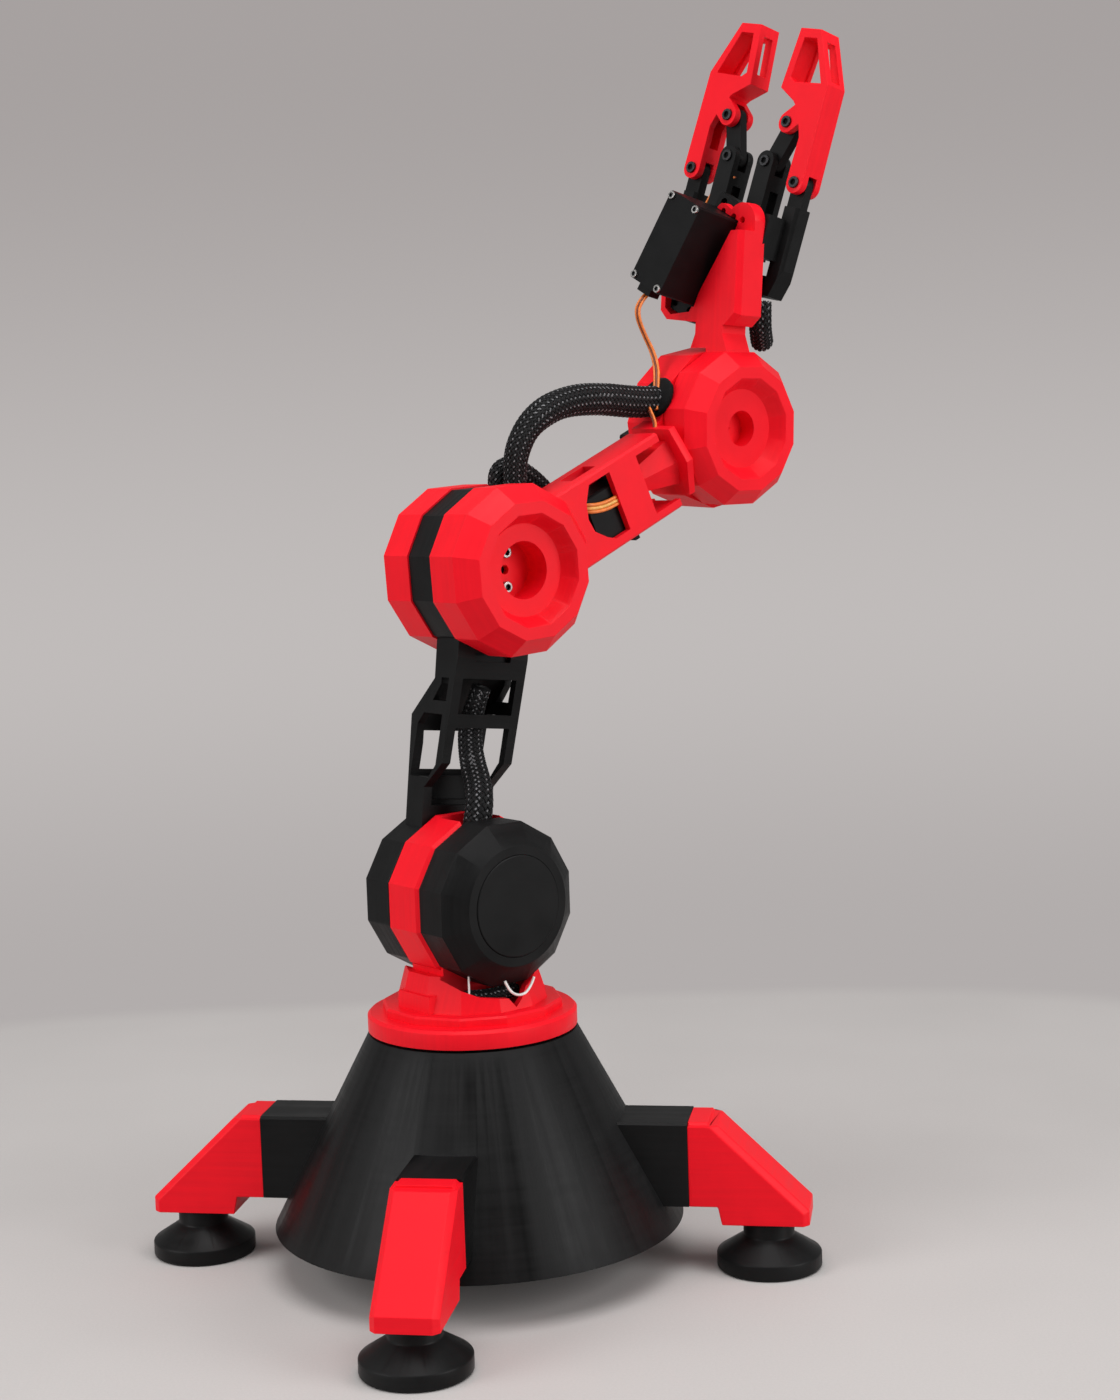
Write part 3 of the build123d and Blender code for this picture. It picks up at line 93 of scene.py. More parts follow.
ROW = Matrix.Identity(4)
SHOULDER = shift(0, 0, SHOULDER_HEIGHT) @ turn("Y", UPPER_ARM_LEAN)
ELBOW = Matrix.Translation((SHOULDER @ shift(0, 0, UPPER_ARM_LENGTH)).translation)
FOREARM = ELBOW @ turn("Y", -FOREARM_RISE)
ROLL = FOREARM @ shift(0, ROLL_Y, ROLL_Z) @ turn("X", WRIST_ROLL)
WRIST = ROLL @ shift(FOREARM_LENGTH, -ROLL_Y, -ROLL_Z)
HAND = WRIST @ turn("Y", FOREARM_RISE + HAND_PITCH)
GRIP = HAND @ shift(*GRIP_ORIGIN) @ turn("Z", GRIP_YAW) @ turn("Y", GRIP_PITCH) @ turn("X", GRIP_ROLL)


# ---------------------------------------------------------------- shader helpers
class Shader:
    """A node material and short ways to add to it. Texture scales are per metre, bump distances in metres."""

    def __init__(self, name, colour, roughness, metallic=0.0):
        self.mat = bpy.data.materials.new(name)
        self.mat.use_nodes = True
        self.nodes = self.mat.node_tree.nodes
        self.links = self.mat.node_tree.links
        self.bsdf = self.nodes["Principled BSDF"]
        self.put({"Base Color": (*colour, 1), "Roughness": roughness, "Metallic": metallic})
        self.coords = self.nodes.new("ShaderNodeTexCoord").outputs["Object"]

    def put(self, values):
        """Sets sockets of the surface to plain values."""
        for socket, value in values.items():
            self.bsdf.inputs[socket].default_value = value

    def link(self, source, target):
        """Joins an output to an input."""
        self.links.new(source, target)

    def feed(self, sockets, values):
        """Gives each socket its number or its link."""
        for socket, value in zip(sockets, values):
            if isinstance(value, (int, float)):
                socket.default_value = value
            else:
                self.link(value, socket)

    def along(self, direction):
        """Distance along one direction of the row frame."""
        dot = self.nodes.new("ShaderNodeVectorMath")
        dot.operation = "DOT_PRODUCT"
        self.link(self.coords, dot.inputs[0])
        dot.inputs[1].default_value = tuple(direction)
        return dot.outputs["Value"]

    def math(self, operation, a, b):
        """One step of arithmetic."""
        node = self.nodes.new("ShaderNodeMath")
        node.operation = operation
        self.feed(node.inputs, (a, b))
        return node.outputs[0]

    def mixed(self, a, share_a, b, share_b):
        """Two values added up, each times its share."""
        return self.math("ADD", self.math("MULTIPLY", a, share_a), self.math("MULTIPLY", b, share_b))

    def vector(self, x, y, z):
        """A vector of three values."""
        node = self.nodes.new("ShaderNodeCombineXYZ")
        self.feed(node.inputs, (x, y, z))
        return node.outputs[0]

    def noise(self, vector, scale, detail=2.0, roughness=0.5):
        """Cloudy noise about 0.5."""
        node = self.nodes.new("ShaderNodeTexNoise")
        self.link(vector, node.inputs["Vector"])
        node.inputs["Scale"].default_value = scale
        node.inputs["Detail"].default_value = detail
        node.inputs["Roughness"].default_value = roughness
        return node.outputs["Fac"]

    def lines(self, vector, period):
        """Fine parallel ridges, one each period, across the X of the vector."""
        node = self.nodes.new("ShaderNodeTexWave")
        node.wave_type = "BANDS"
        node.bands_direction = "X"
        self.link(vector, node.inputs["Vector"])
        node.inputs["Scale"].default_value = math.tau / 20 / period
        node.inputs["Distortion"].default_value = 0.0
        return node.outputs["Fac"]

    def spread(self, value, low=0.0, high=1.0, start=0.3, end=0.7):
        """Maps a texture's usual range to low … high."""
        node = self.nodes.new("ShaderNodeMapRange")
        self.link(value, node.inputs["Value"])
        node.inputs["From Min"].default_value = start
        node.inputs["From Max"].default_value = end
        node.inputs["To Min"].default_value = low
        node.inputs["To Max"].default_value = high
        return node.outputs["Result"]

    def tint(self, factor, dark, light):
        """Base colour between two tones."""
        ramp = self.nodes.new("ShaderNodeValToRGB")
        self.link(factor, ramp.inputs["Fac"])
        ramp.color_ramp.elements[0].color = (*dark, 1)
        ramp.color_ramp.elements[1].color = (*light, 1)
        self.link(ramp.outputs["Color"], self.bsdf.inputs["Base Color"])

    def rough(self, value):
        """Roughness from a texture."""
        self.link(value, self.bsdf.inputs["Roughness"])

    def bump(self, height, distance, strength):
        """Fine relief from a texture."""
        node = self.nodes.new("ShaderNodeBump")
        node.inputs["Strength"].default_value = strength
        node.inputs["Distance"].default_value = distance
        self.link(height, node.inputs["Height"])
        self.link(node.outputs["Normal"], self.bsdf.inputs["Normal"])


def scaled(colour, factor):
    """The same hue, darker or lighter."""
    return tuple(min(1.0, c * factor) for c in colour)


# ---------------------------------------------------------------- materials
LAYER = 0.00028               # height of one printed layer, in metres
LAYER_STRETCH = 0.03          # streaks run along the layers, longer than they are high
BUILT_ALONG = {"X": (0, 1, 2), "Y": (1, 2, 0), "Z": (2, 0, 1)}    # that axis first, then the other two
PRINT_ROUGHNESS = 0.42
PRINT_LOOKS = {               # swing: change of tone from place to place; streaks: their depth in the relief
    # the upright pieces swing most: their tone bands are partly the print's streaks and partly painted
    # highlight streaks
    "upright": {"colour": BLACK, "specular": 0.14, "swing": 0.50, "rough": (0.30, 0.56), "streaks": 0.9},
    "black": {"colour": BLACK, "specular": 0.13, "swing": 0.28, "rough": (0.34, 0.52), "streaks": 0.9},
    "red": {"colour": RED, "specular": 0.16, "swing": 0.05, "rough": (0.38, 0.48), "streaks": 0.4},
}


def printed(name, kind, place, axis):
    """Layered print: ridges and streaks square to the way it was built, which is one axis of its frame."""
    look = PRINT_LOOKS[kind]
    colour, swing = look["colour"], look["swing"]
    shader = Shader(name, colour, PRINT_ROUGHNESS)
    shader.put({"Specular IOR Level": look["specular"]})
    rows = [place.to_3x3().col[i].normalized() for i in range(3)]
    height, across, down = (shader.along(rows[i]) for i in BUILT_ALONG[axis])
    flat = shader.vector(height, *(shader.math("MULTIPLY", way, LAYER_STRETCH) for way in (across, down)))
    streak = shader.noise(flat, scale=620.0, detail=3.0, roughness=0.6)
    cloud = shader.noise(shader.coords, scale=75.0, detail=3.0, roughness=0.55)
    grain = shader.noise(shader.coords, scale=2600.0, detail=1.0)
    ridge = shader.lines(shader.vector(height, 0.0, 0.0), LAYER)
    tone = shader.mixed(streak, 0.55, cloud, 0.45)
    if kind == "upright":
        # a round piece shows streaks that climb its sides, so they depend on the way round it alone; in the
        # colour they stand partly for the print's streaks and partly for painted highlight streaks
        ring = shader.nodes.new("ShaderNodeVectorMath")
        ring.operation = "NORMALIZE"
        shader.link(shader.vector(across, down, 0.0), ring.inputs[0])
        streak_and_highlight_band = shader.noise(ring.outputs[0], scale=7.0, detail=3.0, roughness=0.6)
        fine = shader.noise(ring.outputs[0], scale=60.0, detail=2.0, roughness=0.6)
        tone = shader.mixed(tone, 0.4, streak_and_highlight_band, 0.6)
        streak = shader.mixed(streak, 0.5, fine, 0.9)
    dark, light = scaled(colour, 1 - swing), scaled(colour, 1 + swing)
    shader.tint(shader.spread(tone, start=0.36, end=0.64), dark, light)
    shader.rough(shader.spread(tone, *look["rough"], start=0.35, end=0.65))
    relief = shader.mixed(ridge, 0.35, streak, look["streaks"])
    shader.bump(shader.mixed(relief, 1.0, grain, 0.18), distance=0.00006, strength=0.55)
    return shader.mat


def moulded(name, colour, roughness, grain_size, depth):
    """Moulded plastic with a spark-eroded grain."""
    shader = Shader(name, colour, roughness)
    shader.put({"Specular IOR Level": 0.12})
    grain = shader.noise(shader.coords, scale=1 / grain_size, detail=2.0, roughness=0.55)
    cloud = shader.noise(shader.coords, scale=90.0, detail=3.0, roughness=0.6)
    shader.tint(shader.spread(cloud), scaled(colour, 0.75), scaled(colour, 1.35))
    shader.rough(shader.spread(grain, roughness - 0.07, roughness + 0.10))
    shader.bump(grain, depth, strength=0.6)
    return shader.mat


def metal(name, colour, roughness):
    """Turned steel with fine scratches and a little grime."""
    shader = Shader(name, colour, roughness, metallic=1.0)
    stretched = shader.vector(shader.along((1, 0, 0)), shader.math("MULTIPLY", shader.along((0, 1, 0)), 0.15),
                              shader.along((0, 0, 1)))
    scratch = shader.noise(stretched, scale=3500.0, detail=2.0, roughness=0.7)
    grime = shader.noise(shader.coords, scale=500.0, detail=3.0, roughness=0.6)
    shader.tint(shader.spread(grime), scaled(colour, 0.72), scaled(colour, 1.12))
    shader.rough(shader.spread(scratch, roughness - 0.10, roughness + 0.16))
    shader.bump(scratch, distance=0.00003, strength=0.4)
    return shader.mat


def thread(name, colour, roughness):
    """Polyester yarn of a braided sleeve: fibres and a soft sheen."""
    shader = Shader(name, colour, roughness)
    shader.put({"Specular IOR Level": 0.15, "Sheen Weight": 0.06, "Sheen Roughness": 0.4})
    fibre = shader.noise(shader.coords, scale=5200.0, detail=2.0, roughness=0.6)
    cloud = shader.noise(shader.coords, scale=420.0, detail=2.0, roughness=0.6)
    shader.tint(shader.spread(cloud), scaled(colour, 0.55), scaled(colour, 1.7))
    shader.rough(shader.spread(fibre, roughness - 0.1, roughness + 0.12))
    shader.bump(fibre, distance=0.00008, strength=0.7)
    return shader.mat


def insulated(name, colour):
    """Soft PVC wire insulation."""
    shader = Shader(name, colour, 0.36)
    cloud = shader.noise(shader.coords, scale=600.0, detail=2.0, roughness=0.6)
    grain = shader.noise(shader.coords, scale=4000.0, detail=1.0)
    shader.tint(shader.spread(cloud), scaled(colour, 0.82), scaled(colour, 1.12))
    shader.rough(shader.spread(cloud, 0.30, 0.46))
    shader.bump(grain, distance=0.00003, strength=0.4)
    return shader.mat


case_plastic = moulded("servo_case", CASE_BLACK, roughness=0.40, grain_size=0.00035, depth=0.00005)
horn_plastic = moulded("horn_plastic", HORN_BLACK, roughness=0.36, grain_size=0.0006, depth=0.00003)
steel = metal("steel", STEEL, roughness=0.30)
dark_steel = metal("dark_steel", DARK_STEEL, roughness=0.38)
yarn = thread("yarn_black", BRAID_BLACK, roughness=0.55)
# painted highlight: pale yarn for the glints on the braid
glint_yarn = thread("yarn_painted_glint", GLINT_GREY, roughness=0.60)
# painted shade: half as bright as the yarn, for the inside of the sleeves, the wrist port and the pin heads'
# sockets
shade_black = thread("sleeve_core_painted_shade", scaled(BRAID_BLACK, 0.5), roughness=0.75)
orange_wire = insulated("wire_orange", ORANGE)
yellow_wire = insulated("wire_yellow", YELLOW)
brown_wire = insulated("wire_brown", BROWN)
white_wire = insulated("wire_white", WHITE)

# ---------------------------------------------------------------- finish of the carried-over solids
EDGE_WIDTH = 0.5 * MM
EDGE_ANGLE = 24.0             # degrees between faces, from which an edge is rounded
FLAT_ANGLE = 1.0              # degrees between faces, up to which they are one flat face
SAME_POINT = 2e-6             # metres between points that are one
CORNERS = ("rear_right", "rear_left", "front_left", "front_right")
PRINTS = [                    # kind, frame and axis that the layers are stacked along, nodes
    ("upright", ROW, "Z", ("base_cone", *(f"foot_{corner}" for corner in CORNERS))),
    ("black", ROW, "Z", ("waist_thrust_ring",)),
    ("black", ROW, "Y", ("shoulder_cover", "shoulder_cap")),
    ("black", SHOULDER, "Y", ("shoulder_far_drum", "upper_arm")),
    ("black", GRIP, "X", ("gripper_frame", "fork", "link_right", "link_left", "connecting_rod")),
    ("red", ROW, "Z", tuple(f"leg_{corner}" for corner in CORNERS)),
    ("red", ROW, "Y", ("turntable",)),
    ("red", SHOULDER, "Y", ("elbow_far_drum",)),
    ("red", FOREARM, "Y", ("forearm",)),
    ("red", WRIST, "Y", ("wrist_bracket",)),
    ("red", HAND, "Y", ("hand_bracket",)),
    ("red", GRIP, "X", ("finger_right", "finger_left")),
]
SERVO_PLACES = ("waist", "shoulder", "elbow", "roll", "wrist")
PLAIN = [
    (case_plastic, (*(f"{place}_servo" for place in SERVO_PLACES), "gripper_servo")),
    (horn_plastic, (*(f"{place}_horn" for place in SERVO_PLACES), "crank")),
    (steel, ("foot_screws", "leg_bolts", "elbow_hub_screws", "gripper_cover_screws")),
    (dark_steel, ("hinge_pins", "fork_pins", "link_pin_right", "link_pin_left", "crank_pin")),
]


def finish_node(name, material):
    """Gives a carried-over solid its material."""
    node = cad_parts[name]
    for old in node.material_slots:
        old.material = material
    if not node.material_slots:
        node.data.materials.append(material)


def soften(name):
    """Rounds the sharp printed edges a little."""
    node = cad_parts[name]
    weld = node.modifiers.new("weld", "WELD")
    weld.merge_threshold = SAME_POINT
    flat = node.modifiers.new("flat_faces", "DECIMATE")
    flat.decimate_type = "DISSOLVE"
    flat.angle_limit = math.radians(FLAT_ANGLE)
    bevel = node.modifiers.new("soft_edges", "BEVEL")
    bevel.width = EDGE_WIDTH
    bevel.segments = 2
    bevel.limit_method = "ANGLE"
    bevel.angle_limit = math.radians(EDGE_ANGLE)


for number, (kind, place, axis, names) in enumerate(PRINTS):
    material = printed(f"print_{number:02d}_{kind}", kind, place, axis)
    for name in names:
        soften(name)
        finish_node(name, material)
for material, names in PLAIN:
    for name in names:
        finish_node(name, material)


def centreline(points, place):
    """The smooth line through a route: a NURBS spline with the route's points, read back."""
    curve = bpy.data.curves.new("route", "CURVE")
    curve.dimensions = "3D"
    curve.resolution_u = 24
    spline = curve.splines.new("NURBS")
    spline.points.add(len(points) - 1)
    for point, xyz in zip(spline.points, points):
        point.co = (*(place @ (Vector(xyz) * MM)), 1)
    spline.order_u = 3
    spline.use_endpoint_u = True
    holder = bpy.data.objects.new("route", curve)
    bpy.context.scene.collection.objects.link(holder)
    bpy.context.view_layer.update()
    mesh = bpy.data.meshes.new_from_object(holder)
    line = [v.co.copy() for v in mesh.vertices]
    bpy.data.objects.remove(holder)
    bpy.data.curves.remove(curve)
    bpy.data.meshes.remove(mesh)
    return line


def even(line, step):
    """The same line with its points a step apart, and its length."""
    reach = [0.0]
    for a, b in zip(line, line[1:]):
        reach.append(reach[-1] + (b - a).length)
    count = max(4, round(reach[-1] / step))
    result = []
    index = 0
    for i in range(count + 1):
        goal = reach[-1] * i / count
        while index < len(line) - 2 and reach[index + 1] < goal:
            index += 1
        part = (goal - reach[index]) / max(1e-9, reach[index + 1] - reach[index])
        result.append(line[index].lerp(line[index + 1], part))
    return result, reach[-1]


def carried_frames(line):
    """Each point with a side and an up direction, turned as little as possible along the line."""
    side = None
    frames = []
    for i, point in enumerate(line):
        ahead = (line[min(i + 1, len(line) - 1)] - line[max(i - 1, 0)]).normalized()
        if side is None:
            side = ahead.orthogonal().normalized()
        side = (side - ahead * side.dot(ahead)).normalized()
        frames.append((point, side, ahead.cross(side)))
    return frames


def round_ring(point, side, up, radius, count):
    """A circle of points square to the line."""
    return [point + (side * math.cos(a) + up * math.sin(a)) * radius
            for a in (math.tau * k / count for k in range(count))]


def skin(mesh, rings, slot, caps=True):
    """Joins closed rings of points into a tube, with its ends shut."""
    made = [[mesh.verts.new(point) for point in ring] for ring in rings]
    size = len(made[0])
    faces = []
    for a, b in zip(made, made[1:]):
        for i in range(size):
            j = (i + 1) % size
            faces.append(mesh.faces.new((a[i], a[j], b[j], b[i])))
    if caps:
        faces.append(mesh.faces.new(made[0][::-1]))
        faces.append(mesh.faces.new(made[-1]))
    for face in faces:
        face.material_index = slot
        face.smooth = True
    return faces


def finish_mesh(name, mesh, *mats):
    """A scene object from a bmesh."""
    bmesh.ops.recalc_face_normals(mesh, faces=mesh.faces[:])
    data = bpy.data.meshes.new(name)
    mesh.to_mesh(data)
    mesh.free()
    for material in mats:
        data.materials.append(material)
    piece = bpy.data.objects.new(name, data)
    bpy.context.scene.collection.objects.link(piece)
    return piece


def carry(piece, bodies, node):
    """Puts a piece on its body, or leaves it fixed where it is when it lies between two, and hides the
    carried-over part that it stands for.
    """
    if len(bodies) > 1:
        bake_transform(piece)
    else:
        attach(piece, *bodies)
    if node:
        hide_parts(node)


# ---------------------------------------------------------------- braided sleeves, sizes in mm
BRAID_STEP = 0.55
BRAID_LIFT = 0.20             # how far a ribbon rises over the one that it crosses
CORE_SHARE = 0.84             # radius of the core, painted darker than the yarn as the shade inside the sleeve
CORE_SIDES = 20
RIBBON_SHARE = 0.62           # a ribbon's width within its share of the round
RIBBON_SINK = 1.6             # its middle below the sleeve's outside, in lifts
# a ribbon's section: half widths across it, lifts outwards; the side after RIBBON_TOP points outwards
RIBBON = [(-1.0, -0.3), (0.0, -0.7), (1.0, -0.3), (0.45, 0.6), (-0.45, 0.6)]
RIBBON_TOP = 3
GLINT_HALF = 0.30             # half length of a painted glint of pale yarn, in crossings
GLINT_ROWS = (0, 3)            # rows that carry painted glints, of each six rows round the sleeve


def swell(widths, share):
    """The sleeve's width at a share of its length, eased between the widths given."""
    place = share * (len(widths) - 1)
    index = min(int(place), len(widths) - 2)
    part = place - index
    ease = part * part * (3 - 2 * part)
    return widths[index] + (widths[index + 1] - widths[index]) * ease


def braid(name, points, place, diameter, carriers, widths):
    """A braided sleeve: yarn ribbons crossing over and under each other round a core painted dark as the
    shade inside, with pale yarn painted as glints on some crossings.
    """
    radius = diameter / 2 * MM
    lift = BRAID_LIFT * MM
    line, length = even(centreline(points, place), BRAID_STEP * MM)
    frames = carried_frames(line)
    last = len(frames) - 1
    width = [swell(widths, i / last) for i in range(last + 1)]
    mesh = bmesh.new()
    skin(mesh, [round_ring(*at, radius * CORE_SHARE * w, CORE_SIDES) for at, w in zip(frames, width)], 0)
    crossing = math.pi * radius / carriers
    half_width = math.pi * radius / carriers * RIBBON_SHARE
    step = length / last
    for sense in (1, -1):
        for k in range(carriers):
            rings = []
            for i, (p, s, u) in enumerate(frames):
                travel = i * step
                angle = math.tau * k / carriers + sense * travel / radius
                over = sense * math.cos(math.pi * travel / crossing)
                out = s * math.cos(angle) + u * math.sin(angle)
                around = u * math.cos(angle) - s * math.sin(angle)
                wide = (around - sense * s.cross(u)).normalized() * half_width * width[i]
                middle = p + out * (radius * width[i] - lift * RIBBON_SINK + lift * over)
                rings.append([middle + wide * across + out * lift * rise for across, rise in RIBBON])
            faces = skin(mesh, rings, 1)
            # painted glints: pale yarn where the ribbon lies on top, on some of the rows
            for i in range(last):
                place_along = (i + 0.5) * step / crossing
                count = round(place_along)
                row = (2 * k + sense * count) % (2 * carriers)
                on_top = count % 2 == (0 if sense == 1 else 1)
                if on_top and abs(place_along - count) < GLINT_HALF and row % 6 in GLINT_ROWS:
                    faces[i * len(RIBBON) + RIBBON_TOP].material_index = 2
    return finish_mesh(name, mesh, shade_black, yarn, glint_yarn), line, length


# a short black sleeve in the turntable's cup, standing partly for the wires there and partly as painted shade
# inside the cup
SLEEVE_BASE = [(-15.0, -16.0, 114.7), (-8.0, -19.0, 114.5), (1.0, -19.6, 114.7), (8.5, -17.4, 114.5)]
SLEEVE_UPPER = [(0.5, -0.4, 85.0), (0.0, 3.0, 77.0), (0.5, 6.4, 66.0), (2.0, 5.0, 54.0), (1.5, -1.0, 45.0),
                (-0.5, -5.0, 38.5), (-1.5, -5.5, 33.0), (-1.5, -5.0, 28.5)]
SLEEVE_FOREARM = [(26.8, -1.0, 22.5), (30.0, -1.0, 30.0), (35.5, -1.2, 37.5), (44.5, -1.5, 43.4),
                  (57.0, -1.8, 45.2), (70.0, -1.5, 42.8), (85.0, -1.0, 36.6), (98.5, -1.0, 29.0),
                  (108.0, -2.0, 24.6), (116.0, -3.0, 21.6)]
SLEEVE_ELBOW = [(25.5, 8.6, 23.0), (27.3, 9.0, 28.8), (33.5, 9.4, 30.6), (38.8, 9.6, 27.4), (43.2, 9.4, 21.6),
                (46.3, 8.5, 15.5), (47.3, 6.0, 8.5), (47.2, 4.3, 3.5)]
SLEEVE_HAND = [(9.6, -21.0, 54.0), (9.4, -21.5, 48.5), (13.0, -18.5, 42.5), (19.5, -13.5, 38.0)]

EVEN = (1.0, 1.0)
SLEEVES = [                   # name, route, frame, diameter, carriers, widths, bodies, span of blend, node
    ("braided_sleeve_base", SLEEVE_BASE, ROW, 6.0, 10, EVEN, ("turntable",), (), "sleeve_base"),
    ("braided_sleeve_upper", SLEEVE_UPPER, SHOULDER, 10.0, 14, (0.80, 1.0, 1.12, 1.16),
     ("turntable", "upper_arm"), ((0, 0, 34), (0, 0, 76)), "sleeve_upper"),
    ("braided_sleeve_forearm", SLEEVE_FOREARM, FOREARM, 12.8, 18, (0.72, 0.84, 0.98, 1.06, 1.08, 1.02),
     ("forearm", "wrist"), ((84, -1, 30), (106, -1, 20)), "sleeve_forearm"),
    ("braided_sleeve_elbow", SLEEVE_ELBOW, FOREARM, 8.0, 12, EVEN, ("forearm",), (), "sleeve_elbow"),
    ("braided_sleeve_hand", SLEEVE_HAND, HAND, 10.0, 14, EVEN, ("hand",), (), "sleeve_hand"),
]
for name, points, place, diameter, carriers, widths, bodies, span, node in SLEEVES:
    piece, line, length = braid(name, points, place, diameter, carriers, widths)
    carry(piece, bodies, node)

# ---------------------------------------------------------------- servo leads and wires, sizes in mm
LEAD_STEP = 0.5
WIRE_SIDES = 12


def leads(name, points, place, spacing, wire, colours, across):
    """Insulated wires side by side along a route. across is the way that they lie, in the frame."""
    line, length = even(centreline(points, place), LEAD_STEP * MM)
    wide = (place.to_3x3() @ Vector(across)).normalized()
    mesh = bmesh.new()
    frames = carried_frames(line)
    for k in range(len(colours)):
        offset = (k - (len(colours) - 1) / 2) * spacing * MM
        rings = []
        for p, s, u in frames:
            ahead = s.cross(u)
            flat = (wide - ahead * wide.dot(ahead)).normalized()
            rings.append(round_ring(p + flat * offset, s, u, wire / 2 * MM, WIRE_SIDES))
        skin(mesh, rings, k)
    return finish_mesh(name, mesh, *colours), line, length


RIBBON_ROLL = [(63.5, -17.1, 0.8), (58.0, -17.3, 0.9), (51.5, -17.4, 2.2), (46.2, -17.1, 4.4),
               (44.9, -13.6, 5.2)]
RIBBON_GRIPPER = [(-29.3, 9.1, 55.4), (-33.2, 9.6, 51.5), (-33.8, 9.4, 46.0), (-30.0, 8.6, 38.5),
                  (-27.2, 6.0, 31.5), (-27.8, 2.2, 24.5), (-31.0, -1.6, 17.5), (-34.3, -5.0, 9.5),
                  (-35.6, -6.2, 6.2)]
LEAD_WRIST = [(-31.0, -5.0, 25.0), (-33.0, -8.6, 20.5), (-35.0, -10.6, 16.8), (-40.0, -10.4, 12.6),
              (-42.7, -10.2, 8.0), (-45.6, -10.0, 5.0), (-48.5, -10.5, 1.5)]
LEAD_LINK = [(10.5, 20.4, 37.0), (10.2, 18.2, 43.3), (9.8, 14.4, 46.4), (9.5, 10.4, 49.0), (9.5, 6.5, 51.0)]
WIRE_LOOP = [(-5.5, -29.8, 122.2), (-4.2, -30.6, 118.0), (0.5, -31.0, 115.2), (6.0, -30.8, 116.6),
             (9.2, -29.8, 121.4)]
WIRE_SIDE = [(-17.2, -21.5, 127.0), (-17.4, -21.8, 122.0), (-17.3, -21.6, 117.0), (-17.2, -21.0, 114.2)]

THREE_WIRES = (orange_wire, brown_wire, orange_wire)
TWO_WIRES = (orange_wire, brown_wire)
LEADS = [                     # name, route, frame, spacing, wire, colours, across, bodies, node, slot
    ("servo_lead_roll", RIBBON_ROLL, FOREARM, 1.45, 1.5, (orange_wire, yellow_wire, orange_wire), (0, 0, 1),
     ("forearm",), "ribbon_roll", "orange_wire"),
    ("servo_lead_gripper", RIBBON_GRIPPER, HAND, 1.05, 1.1, THREE_WIRES, (0, 1, 0.25),
     ("hand", "wrist"), "ribbon_gripper", "orange_wire"),
    ("servo_lead_wrist", LEAD_WRIST, WRIST, 1.0, 1.05, TWO_WIRES, (0, 1, 0),
     ("wrist", "forearm"), None, "orange_wire"),
    ("servo_lead_link", LEAD_LINK, GRIP, 0.9, 1.0, TWO_WIRES, (1, 0, 0.5),
     ("hand",), None, "orange_wire"),
    ("white_wire_loop", WIRE_LOOP, ROW, 1.0, 1.1, (white_wire,), (0, 1, 0),
     ("turntable",), "wire_loop", "white_wire"),
    ("white_wire_side", WIRE_SIDE, ROW, 1.0, 0.8, (white_wire,), (0, 1, 0),
     ("turntable",), None, "white_wire"),
]
for name, points, place, spacing, wire, colours, across, bodies, node, slot in LEADS:
    piece, line, length = leads(name, points, place, spacing, wire, colours, across)
    carry(piece, bodies, node)

# ---------------------------------------------------------------- painted shade: a dark lining where the sleeve enters the wrist
PORT_ANGLE = 133.0            # degrees round the wrist's axis
PORT_Y = -3.4
PORT_HALF_ANGLE = 15.0
PORT_HALF_WIDTH = 8.6
PORT_INNER = 33.4
PORT_OUTER = 35.3
PORT_RINGS = [(0.0, PORT_OUTER), (0.5, PORT_OUTER), (0.85, PORT_OUTER), (1.0, PORT_OUTER), (1.0, PORT_INNER)]
PORT_SIDES = 32
SAME_VERTEX = 1e-7            # metres between vertices that are one


def sleeve_port_shade():
    """A thin dark oval lining on the round of the wrist housing, painted shade where the sleeve goes in."""
    mesh = bmesh.new()
    rings = []
    for share, radius in PORT_RINGS:
        ring = []
        for k in range(PORT_SIDES):
            a = math.tau * k / PORT_SIDES
            angle = math.radians(PORT_ANGLE + PORT_HALF_ANGLE * share * math.cos(a))
            y = PORT_Y + PORT_HALF_WIDTH * share * math.sin(a)
            ring.append(WRIST @ (Vector((math.cos(angle) * radius, y, math.sin(angle) * radius)) * MM))
        rings.append(ring)
    skin(mesh, rings, 0, caps=False)
    bmesh.ops.remove_doubles(mesh, verts=mesh.verts[:], dist=SAME_VERTEX)
    return finish_mesh("sleeve_port_shade", mesh, shade_black)


carry(sleeve_port_shade(), ("wrist",), None)

# ---------------------------------------------------------------- screw heads, sizes in mm
HEAD_SIDES = 36
HEAD_EDGE = 0.12              # rounding of the rim, of the radius
SOCKET = 0.52                 # across the corners of the hexagon, of the head
SOCKET_MOUTH = 1.12           # its lead-in, of the socket
HUB_FACE = -12.0              # y of the elbow's hub
HUB_SCREWS = 7.0              # from its middle
COVER_FACE = -31.5            # x of the gripper servo's cover
COVER_SPOTS = [(-15.55, 28.92), (0.03, 33.33), (-5.56, -6.40), (10.03, -1.98)]
PIN_FACE = 6.6                # x at which the gripper's pins end
LOWER_PIN = (30.8, 52.0)
MIDDLE_PIN = (17.6, 76.8)
JOINT_PIN = (11.2, 59.3)


def head_ring(spot, size, level, hexagon=False):
    """A circle or a hexagon at one level of a head, with the same number of points."""
    points = []
    for k in range(HEAD_SIDES):
        a = math.tau * k / HEAD_SIDES
        reach = size
        if hexagon:
            reach = size * math.cos(math.pi / 6) / math.cos(a % (math.pi / 3) - math.pi / 6)
        points.append(spot @ Vector((math.cos(a) * reach, math.sin(a) * reach, level)))
    return points


